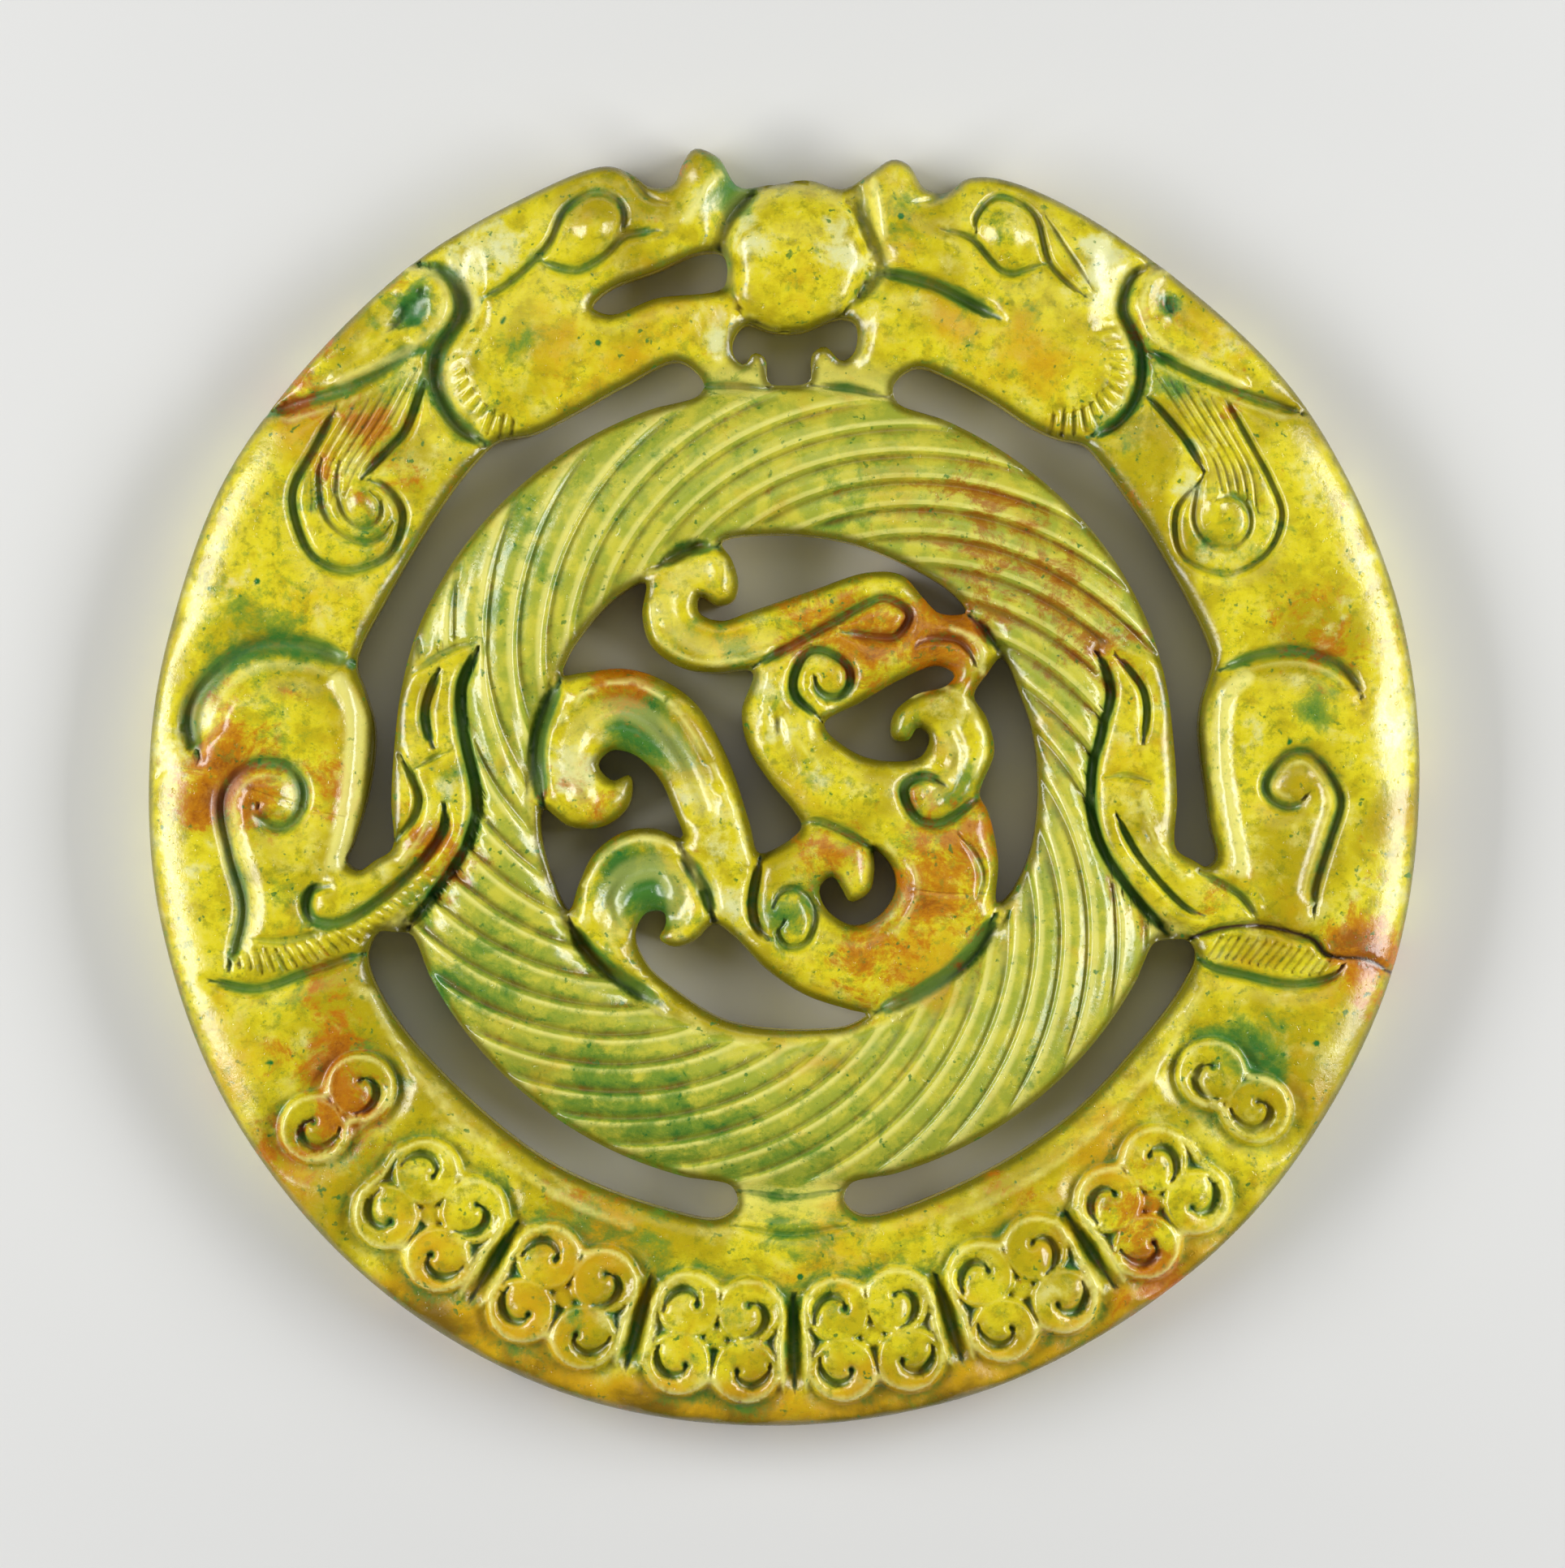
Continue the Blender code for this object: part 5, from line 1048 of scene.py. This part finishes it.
def back_face(rim, holes, mm):
    """The flat back with its rounded edge, as points with heights, triangles and their boundary."""
    store = PointStore(0.2)
    width = mm.back_round
    edges = [closed_line(rim)] + [closed_line(hole) for hole, _ in holes]
    for line in edges:
        store.add_loop(line[:-1])
    for share, gap in ((0.25, 0.1), (1.0, 0.3)):
        rows = np.vstack([beside(line, (share if number == 0 else -share) * width)
                          for number, line in enumerate(edges)])
        store.add_free(rows[in_material(rows, rim, holes, 0.8 * share * width)], gap)
    spread = lattice((-FIELD, -FIELD), (FIELD, FIELD), BACK_STEP)
    store.add_free(spread[in_material(spread, rim, holes, 1.2)], 1.2)
    flat, faces, where = triangles(store, rim, holes)
    distance = np.min([nearest(flat, line, width)[0] for line in edges], axis=0)
    return np.column_stack((flat, round_over(distance, width, width))), faces, where


def walls_between(rings, top, back, where, back_where):
    """The upright walls from face to back: a row of points half way down, and triangles."""
    points, quads = [], []
    start = len(top) + len(back)
    for number, ring in enumerate(rings):
        upper, lower = where[list(ring)], back_where[list(ring)]
        middle = start + np.arange(len(ring))
        start += len(ring)
        points.append((top[upper] + back[lower]) / 2)
        for high, low in ((upper, middle), (middle, lower + len(top))):
            wall = np.stack((high, np.roll(high, -1), np.roll(low, -1), low), axis=1)
            quads.append(wall[:, ::-1] if number == 0 else wall)
    quads = np.vstack(quads)
    return points, [quads[:, (0, 1, 2)], quads[:, (0, 2, 3)]]


def carved_disc_mesh(mm):
    """The whole disc in fine mesh: carved face, walls and back, with the shares that its colours follow."""
    rim = counter_clockwise(spaced(place(curve(polar(RIM), closed=True), mm), RIM_STEP, closed=True))
    holes = [(counter_clockwise(spaced(hole, HOLE_STEP, closed=True)), in_middle)
             for hole, in_middle in openings(mm)]
    carving = SimpleNamespace(
        grooves=groove_lines(mm), fine=tick_lines(mm) + hair_lines(mm), cracks=drawn(CRACKS, mm),
        ridges=drawn(RIDGES, mm) + scroll_rims(mm), scoops=drawn(SCOOPS, mm))
    store, rings = fill_face(rim, holes, carving, mm)
    flat, front, where = triangles(store, rim, holes)
    height, shares = face_relief(flat, rim, holes, carving, mm)
    top = np.column_stack((flat, height))
    back, back_faces, back_where = back_face(rim, holes, mm)
    wall_points, walls = walls_between(rings, top, back, where, back_where)
    vertices = np.vstack([top, back] + wall_points)
    middle = (vertices.max(axis=0) + vertices.min(axis=0)) / 2
    vertices[:, :2] += ((np.array(DISC_LOW) + np.array(DISC_HIGH)) * 500 - middle)[:2]
    faces = np.vstack([front, back_faces[:, ::-1] + len(top)] + walls)
    mesh = bpy.data.meshes.new("jade_disc_carved")
    mesh.from_pydata((vertices / 1000).tolist(), [], faces.tolist())
    for name in sorted(set(shares) | set(STAINS)):
        values = np.zeros(len(vertices))
        if name in STAINS:
            values = stain_share(vertices[:, :2], STAINS[name], mm)
            values[len(top):] *= BACK_STAIN
        if name in shares:
            values[:len(top)] += shares[name]
        mesh.attributes.new(name, "FLOAT", "POINT").data.foreach_set("value", values)
    mesh.validate()
    mesh.shade_smooth()
    return mesh


# The node tree that cuts the rope's strands

class NodeSheet:
    """Short ways to add and join the nodes of one tree."""

    def __init__(self, tree):
        self.tree = tree
        self.column = 0

    def add(self, kind, **settings):
        node = self.tree.nodes.new(kind)
        node.location = (self.column % 12 * 190, -(self.column // 12) * 260)
        self.column += 1
        for name, value in settings.items():
            setattr(node, name, value)
        return node

    def join(self, source, socket):
        """Link a socket, or set a plain value."""
        if isinstance(source, bpy.types.NodeSocket):
            self.tree.links.new(source, socket)
        else:
            socket.default_value = source

    def sum(self, operation, first, second=0.0, third=0.0):
        node = self.add("ShaderNodeMath", operation=operation)
        for value, socket in zip((first, second, third), node.inputs):
            self.join(value, socket)
        return node.outputs[0]

    def times(self, first, second, plus=0.0):
        """First times second, plus a third."""
        return self.sum("MULTIPLY_ADD", first, second, plus)

    def less(self, first, second):
        return self.sum("SUBTRACT", first, second)

    def ramp(self, low, high, value):
        """Zero below low, one above high, with soft ends."""
        node = self.add("ShaderNodeMapRange", interpolation_type="SMOOTHSTEP")
        for given, name in ((value, "Value"), (low, "From Min"), (high, "From Max")):
            self.join(given, node.inputs[name])
        return node.outputs[0]


def strand_tree(material):
    """A node tree that cuts the twisted rope's strands into the ring."""
    tree = bpy.data.node_groups.new("rope_strands", "GeometryNodeTree")
    for name, way, kind in (("Geometry", "INPUT", "Geometry"), ("Strands", "INPUT", "Int"),
                            ("Sweep", "INPUT", "Float"), ("Depth", "INPUT", "Float"),
                            ("Outer Radius", "INPUT", "Float"), ("Width", "INPUT", "Float"),
                            ("Geometry", "OUTPUT", "Geometry")):
        tree.interface.new_socket(name, in_out=way, socket_type="NodeSocket" + kind)
    sheet = NodeSheet(tree)
    times, less = sheet.times, sheet.less
    given = sheet.add("NodeGroupInput").outputs
    position = sheet.add("ShaderNodeSeparateXYZ")
    sheet.join(sheet.add("GeometryNodeInputPosition").outputs[0], position.inputs[0])
    x, y, _ = position.outputs
    angle = sheet.sum("ARCTAN2", y, x)
    radius = sheet.sum("SQRT", sheet.sum("ADD", times(x, x), times(y, y)))
    share = sheet.sum("DIVIDE", less(given["Outer Radius"], radius), given["Width"])

    def waves(turn, parts):
        """The same slow change as swing()."""
        total = 0.0
        for turns, (amount, phase) in enumerate(parts, start=1):
            total = times(sheet.sum("COSINE", times(turn, float(turns), -math.radians(phase))), amount, total)
        return total

    guess = less(angle, times(given["Sweep"], share))
    swung = times(waves(guess, SWEEP_SWING), math.radians(1.0), given["Sweep"])
    start = less(angle, times(swung, share))
    number = times(sheet.sum("DIVIDE", start, 2 * math.pi), given["Strands"], FIRST_STRAND)
    profile = sheet.add("ShaderNodeFloatCurve")
    points = profile.mapping.curves[0].points
    while len(points) < len(STRAND_PROFILE):
        points.new(0.5, 0.5)
    for point, knot in zip(points, STRAND_PROFILE):
        point.location = knot
        point.handle_type = "VECTOR"
    profile.mapping.update()
    sheet.join(sheet.sum("FRACT", sheet.sum("ADD", number, waves(start, CROWDING))), profile.inputs["Value"])
    fade = sheet.add("GeometryNodeInputNamedAttribute", data_type="FLOAT")
    fade.inputs["Name"].default_value = "strand_fade"
    low = times(less(1.0, profile.outputs[0]), fade.outputs[0])
    offset = sheet.add("ShaderNodeCombineXYZ")
    sheet.join(times(times(low, given["Depth"]), -1.0), offset.inputs[2])
    cut = sheet.add("GeometryNodeSetPosition")
    sheet.join(offset.outputs[0], cut.inputs["Offset"])
    keep = sheet.add("GeometryNodeStoreNamedAttribute", data_type="FLOAT", domain="POINT")
    keep.inputs["Name"].default_value = "strand_low"
    sheet.join(low, keep.inputs["Value"])
    finish = sheet.add("GeometryNodeSetMaterial")
    finish.inputs["Material"].default_value = material
    geometry = given["Geometry"]
    for node in (cut, keep, sheet.add("GeometryNodeRealizeInstances"), finish, sheet.add("NodeGroupOutput")):
        sheet.join(geometry, node.inputs["Geometry"])
        geometry = node.outputs[0] if node.outputs else None
    return tree


def with_strands(blank, material, sizes):
    """The blank's mesh after the strand tree has cut it, as a plain mesh."""
    tree = strand_tree(material)
    modifier = blank.modifiers.new("rope_strands", "NODES")
    modifier.node_group = tree
    wanted = {"Strands": sizes.strand_count, "Sweep": sizes.strand_sweep, "Depth": sizes.strand_depth,
              "Outer Radius": sizes.centre_radius + sizes.rope_width, "Width": sizes.rope_width}
    for socket in tree.interface.items_tree:
        if socket.item_type == "SOCKET" and socket.in_out == "INPUT" and socket.name in wanted:
            modifier[socket.identifier] = wanted[socket.name]
    blank.update_tag()
    view = bpy.context.evaluated_depsgraph_get()
    mesh = bpy.data.meshes.new_from_object(blank.evaluated_get(view))
    blank.modifiers.remove(modifier)
    return mesh


# The stone's material

def linear(red, green, blue):
    """A colour given in display values from 0 to 255, as the shaders count it."""
    return tuple(((value / 255 + 0.055) / 1.055) ** 2.4 for value in (red, green, blue))


def jade_material(colours):
    """Polished jade: yellow to olive body, green and russet staining, darker grooves, specks and fine grain, with
    painted highlights on ridges and painted shade at edges and on the lower rim.
    """
    material = bpy.data.materials.new("stained_yellow_jade")
    material.use_nodes = True
    shader = material.node_tree.nodes["Principled BSDF"]
    sheet = NodeSheet(material.node_tree)
    times, ramp = sheet.times, sheet.ramp
    place_on = sheet.add("ShaderNodeTexCoord").outputs["Object"]

    def noise(name):
        node = sheet.add("ShaderNodeTexNoise")
        sheet.join(place_on, node.inputs["Vector"])
        for socket, value in zip(("Scale", "Detail", "Roughness", "Distortion"), NOISES[name]):
            node.inputs[socket].default_value = value
        return node.outputs["Fac"]

    def share(name):
        return sheet.add("ShaderNodeAttribute", attribute_name=name).outputs["Fac"]

    def mix(factor, first, second):
        node = sheet.add("ShaderNodeMix", data_type="RGBA")
        sheet.join(factor, node.inputs[0])
        for tint, socket in ((first, node.inputs[6]), (second, node.inputs[7])):
            sheet.join(tint if isinstance(tint, bpy.types.NodeSocket) else (*tint, 1.0), socket)
        return node.outputs[2]

    def lay(under, over, level, none, full, strength=1.0):
        """Lay one colour over another: none of it at one level, all of its strength at the other."""
        return mix(times(ramp(none, full, level), strength), under, over)

    def swayed(base, level, amount):
        """The base, moved up and down with a level that has its middle at 0.5."""
        return times(sheet.less(level, 0.5), amount, base)

    cloud, mottle, grain, patch = noise("cloud"), noise("mottle"), noise("grain"), noise("patch")
    groove, rope, strand_low, cream = share("groove"), share("rope"), share("strand_low"), share("cream")
    # yellow with olive clouds, but none in the cream clouds and painted highlights; then pale mottling and olive
    # freckles
    body = mix(ramp(0.4, 0.58, times(cream, 0.5, cloud)), colours.olive, colours.body)
    body = lay(body, colours.pale_and_highlight, mottle, 0.5, 0.74, 0.5)
    body = lay(body, colours.olive, mottle, 0.52, 0.34, 0.7)
    body = lay(body, colours.moss, noise("freckle"), 0.5, 0.66, 0.62)
    # cream clouds and painted highlights
    body = lay(body, colours.cream, times(cream, 0.4, swayed(0.5, mottle, 1.3)), 0.66, 1.0, 0.85)
    # the rope's own green and yellow, with a painted highlight along the tops of its strands
    rope_body = mix(ramp(0.4, 0.62, mottle), colours.rope_green, colours.rope)
    rope_body = lay(rope_body, colours.pale_and_highlight, strand_low, 0.14, 0.0, 0.75)
    body = mix(rope, body, rope_body)
    # golden clouds, and painted shade along the lower rim that goes brown where they are strongest
    amber_and_rim_shade_level = times(share("amber"), 0.34, noise("gold"))
    body = lay(body, colours.amber, amber_and_rim_shade_level, 0.52, 0.86, 0.85)
    body = lay(body, colours.lower_rim_shade, amber_and_rim_shade_level, 0.8, 1.08, 0.85)
    # painted shade: dark olive where the face falls away to an edge
    body = lay(body, colours.edge, swayed(share("brink"), patch, 0.6), 0.1, 0.9, 0.9)
    # green in patches and veins, and russet clouds; on the rope both keep to the grooves
    low_bias = times(sheet.less(strand_low, 0.4), times(rope, 0.26))
    green_level = times(share("green"), 0.38, sheet.sum("ADD", swayed(0.5, patch, 1.6), low_bias))
    body = lay(body, colours.green, green_level, 0.64, 0.94, 0.75)
    body = lay(body, colours.deep_green, green_level, 0.88, 1.16, 0.8)
    russet_level = sheet.sum("ADD", times(share("russet"), 0.44, swayed(0.5, noise("rust"), 2.0)), low_bias)
    russet = mix(times(rope, 0.5), colours.russet, colours.brown)
    body = lay(body, russet, russet_level, 0.7, 1.02, 0.8)
    body = lay(body, colours.brown, russet_level, 0.98, 1.3, 0.7)
    # strand grooves go olive and brown
    strand_tint = mix(ramp(0.42, 0.62, patch), colours.strand_groove, colours.brown)
    body = lay(body, strand_tint, strand_low, 0.45, 1.0, 0.62)
    # cut grooves hold green or olive, and brown where the stone is russet
    groove_tint = mix(ramp(0.4, 0.58, cloud), colours.strand_groove, colours.deep_green)
    groove_tint = lay(groove_tint, colours.deep_green, patch, 0.4, 0.62)
    groove_tint = lay(groove_tint, colours.brown, russet_level, 0.72, 0.95)
    body = lay(body, groove_tint, swayed(groove, patch, 0.9), 0.15, 0.95, 0.85)
    # hollows are pale, ridges and groove lips get a painted highlight, cracks hold dirt
    body = lay(body, colours.pale_and_highlight, share("hollow"), 0.3, 0.9, 0.3)
    body = lay(body, colours.pale_and_highlight, swayed(share("ridge"), mottle, 0.5), 0.12, 0.6, 0.8)
    body = lay(body, colours.crack, share("crack"), 0.25, 1.0)
    # dark specks, large ones listed and small by noise, and fine green dust
    body = lay(body, colours.deep_green, share("speck"), 0.25, 0.6)
    body = lay(body, colours.deep_green, noise("small_specks"), 0.64, 0.71, times(ramp(0.4, 0.58, patch), 0.8))
    body = lay(body, colours.green, noise("dust"), 0.54, 0.66, times(ramp(0.42, 0.62, cloud), 0.4))
    sheet.join(body, shader.inputs["Base Color"])
    sheet.join(times(groove, 0.18, times(grain, 0.18, 0.16)), shader.inputs["Roughness"])
    for name, value in POLISH.items():
        shader.inputs[name].default_value = value
    bump = sheet.add("ShaderNodeBump")
    bump.inputs["Strength"].default_value = 0.5
    bump.inputs["Distance"].default_value = 0.00014
    fine = times(grain, 0.35, times(mottle, 0.65))
    sheet.join(times(ramp(0.66, 0.74, noise("pits")), -0.5, fine), bump.inputs["Height"])
    sheet.join(bump.outputs[0], shader.inputs["Normal"])
    return material


def plain_material(name, tint, roughness):
    """A material of one colour."""
    material = bpy.data.materials.new(name)
    material.use_nodes = True
    shader = material.node_tree.nodes["Principled BSDF"]
    shader.inputs["Base Color"].default_value = (*tint, 1.0)
    shader.inputs["Roughness"].default_value = roughness
    return material


# Sizes, colours and stage settings

def length(name, description, default):
    """A length in metres."""
    return FloatProperty(name=name, description=description, default=default, subtype="DISTANCE", unit="LENGTH",
                         precision=5)


def colour(name, description, display):
    """A colour, its default given in display values."""
    return FloatVectorProperty(name=name, description=description, default=linear(*display), subtype="COLOR",
                               min=0.0, max=1.0)


class JadeDiscSizes(bpy.types.PropertyGroup):
    """Sizes of the carved disc"""
    centre_radius: length("Middle radius", "Radius of the middle field with the phoenix", 0.0199)
    rope_width: length("Rope width", "Width of the twisted rope ring", 0.0115)
    slot_width: length("Slot width", "Gap between the rope and the band", 0.0034)
    band_width: length("Band width", "Width of the outer band", 0.0154)
    thickness: length("Thickness", "Full thickness of the disc", DISC_HIGH[2] - DISC_LOW[2])
    band_drop: length("Band drop", "How far the band lies under the full thickness", 0.0008)
    phoenix_drop: length("Phoenix drop", "How far the phoenix lies under the full thickness", 0.0005)
    rope_edge_drop: length("Rope edge drop", "How far the rope falls at its edges", 0.0026)
    strand_count: IntProperty(name="Strands", description="Number of strands round the rope", default=33, min=3)
    strand_sweep: FloatProperty(name="Strand sweep", description="Turn of a strand across the rope",
                                default=math.radians(51.3), subtype="ANGLE", unit="ROTATION")
    strand_depth: length("Strand depth", "Depth of the grooves between strands", 0.00072)
    scroll_radius: length("Scroll radius", "Radius of a curl of the scroll blocks", 0.0023)
    pearl_radius: length("Pearl radius", "Radius of the pearl", 0.0060)
    pearl_rise: length("Pearl rise", "How far the pearl stands up", 0.0012)
    back_round: length("Back edge", "Rounding of the edge at the back", 0.0005)


# Some of these colours are painted light: pale, amber and cream carry painted highlights or shade, lower rim shade
# and edge are painted shade
class JadeColours(bpy.types.PropertyGroup):
    """Colours of the stone"""
    body: colour("Body", "Yellow of the stone", (234, 220, 34))
    olive: colour("Olive", "Olive clouds in the yellow", (186, 168, 10))
    # Pale: pale mottling, and the colour of the painted highlights on ridges and strand tops
    pale_and_highlight: colour("Pale", "Pale mottling and worn ridges", (250, 243, 136))
    rope: colour("Rope", "Pale yellow-green of the rope", (214, 208, 68))
    rope_green: colour("Rope green", "Greener veins of the rope", (172, 182, 60))
    strand_groove: colour("Strand groove", "Olive between the strands", (136, 118, 18))
    # Amber: golden clouds, and the painted shade of the lower rim
    amber: colour("Amber", "Golden clouds", (218, 166, 14))
    # Lower rim shade: painted shade, brown on the lower rim
    lower_rim_shade: colour("Amber edge", "Brown of the lower rim", (108, 82, 8))
    # Cream: nearly white clouds, and the colour of painted highlights
    cream: colour("Cream", "Nearly white clouds", (236, 238, 176))
    moss: colour("Moss", "Fine olive freckles", (134, 138, 16))
    crack: colour("Crack", "Dark dirt in the cracks", (74, 48, 18))
    # Edge: painted shade, dark olive where the stone falls away to an edge
    edge: colour("Edge", "Dark olive where the stone falls away", (104, 98, 14))
    green: colour("Green", "Green patches", (96, 144, 44))
    deep_green: colour("Deep green", "Green of the grooves", (42, 118, 44))
    russet: colour("Russet", "Orange-brown staining", (196, 106, 2))
    brown: colour("Brown", "Brown of the deepest stains", (136, 66, 4))


class JadeStage(bpy.types.PropertyGroup):
    """Floor, light and camera"""
    floor: colour("Floor", "Colour of the floor", (226, 226, 224))
    side_power: FloatProperty(name="Side light", description="Power of each side light", default=2.05, min=0.0,
                              unit="POWER")
    top_power: FloatProperty(name="Top light", description="Power of the top light", default=0.3, min=0.0,
                             unit="POWER")
    lens: FloatProperty(name="Lens", description="Focal length in millimetres", default=200.0, min=10.0)
    view_width: length("View width", "Width that the camera sees at the carved face", 0.1228)


class OBJECT_OT_jade_disc(bpy.types.Operator):
    """Carve the jade disc in fine relief, with its material"""
    bl_idname = "object.jade_disc_carve"
    bl_label = "Carve jade disc"

    def execute(self, context):
        sizes, colours = context.scene.jade_sizes, context.scene.jade_colours
        material = jade_material(colours)
        blank_mesh = carved_disc_mesh(millimetres(sizes))
        blank_mesh.materials.append(material)
        blank = bpy.data.objects.new("disc_blank", blank_mesh)
        context.scene.collection.objects.link(blank)
        mesh = with_strands(blank, material, sizes)
        bpy.data.objects.remove(blank, do_unlink=True)
        bpy.data.meshes.remove(blank_mesh)
        disc = bpy.data.objects.new("jade_disc_carving", mesh)
        context.scene.collection.objects.link(disc)
        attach(disc, "root")
        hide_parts("jade_disc")
        return {"FINISHED"}


def soft_light(name, place_at, turns, size, power):
    """A soft four-sided light."""
    data = bpy.data.lights.new(name, "AREA")
    data.shape = "RECTANGLE"
    data.size, data.size_y = size
    data.energy = power
    light = bpy.data.objects.new(name, data)
    light.location = place_at
    light.rotation_euler = (*map(math.radians, turns), 0.0)
    bpy.context.scene.collection.objects.link(light)


class OBJECT_OT_jade_stage(bpy.types.Operator):
    """Set out the floor, the lights and the camera straight above the disc"""
    bl_idname = "object.jade_disc_stage"
    bl_label = "Set jade disc stage"

    def execute(self, context):
        stage = context.scene.jade_stage
        mesh = bpy.data.meshes.new("floor")
        corners = [(x * FLOOR_HALF, y * FLOOR_HALF, 0.0) for x, y in ((-1, -1), (1, -1), (1, 1), (-1, 1))]
        mesh.from_pydata(corners, [], [(0, 1, 2, 3)])
        mesh.materials.append(plain_material("pale_floor", stage.floor, 0.7))
        floor = bpy.data.objects.new("floor", mesh)
        floor.location = (0.0, 0.0, DISC_LOW[2] - 0.0001)
        context.scene.collection.objects.link(floor)
        for name, place_at, turns, size, power in LIGHTS:
            soft_light(name, place_at, turns, size, getattr(stage, power))
        world = bpy.data.worlds.new("studio")
        context.scene.world = world
        world.use_nodes = True
        background = world.node_tree.nodes["Background"].inputs
        background["Color"].default_value = (0.8, 0.82, 0.84, 1.0)
        background["Strength"].default_value = 0.1
        context.scene.view_settings.view_transform = "Standard"
        data = bpy.data.cameras.new("camera")
        data.lens = stage.lens
        data.sensor_fit = "HORIZONTAL"
        data.sensor_width = SENSOR_WIDTH
        camera = bpy.data.objects.new("camera", data)
        middle = (Vector(DISC_LOW) + Vector(DISC_HIGH)) / 2
        above = stage.view_width * stage.lens / SENSOR_WIDTH
        camera.location = Vector((middle.x, middle.y, DISC_HIGH[2] + above)) + Vector(VIEW_OFFSET)
        context.scene.collection.objects.link(camera)
        context.scene.camera = camera
        return {"FINISHED"}


class VIEW3D_PT_jade_disc(bpy.types.Panel):
    """Sizes, colours and steps of the jade disc"""
    bl_idname = "VIEW3D_PT_jade_disc"
    bl_label = "Jade Disc"
    bl_space_type = "VIEW_3D"
    bl_region_type = "UI"
    bl_category = "Jade Disc"

    def draw(self, context):
        layout = self.layout
        for group in (context.scene.jade_sizes, context.scene.jade_colours, context.scene.jade_stage):
            box = layout.box()
            box.label(text=group.bl_rna.description)
            for name in group.__annotations__:
                box.prop(group, name)
        layout.operator(OBJECT_OT_jade_disc.bl_idname)
        layout.operator(OBJECT_OT_jade_stage.bl_idname)


CLASSES = (JadeDiscSizes, JadeColours, JadeStage, OBJECT_OT_jade_disc, OBJECT_OT_jade_stage, VIEW3D_PT_jade_disc)


def register():
    """Make the settings, operators and panel known, and hang the settings on the scene."""
    for item in CLASSES:
        bpy.utils.register_class(item)
    bpy.types.Scene.jade_sizes = PointerProperty(type=JadeDiscSizes)
    bpy.types.Scene.jade_colours = PointerProperty(type=JadeColours)
    bpy.types.Scene.jade_stage = PointerProperty(type=JadeStage)


def unregister():
    """Take away what register() adds."""
    del bpy.types.Scene.jade_sizes, bpy.types.Scene.jade_colours, bpy.types.Scene.jade_stage
    for item in reversed(CLASSES):
        bpy.utils.unregister_class(item)


def main():
    """Make the disc and its stage."""
    register()
    bpy.ops.object.jade_disc_carve()
    bpy.ops.object.jade_disc_stage()


if __name__ == "__main__":
    main()
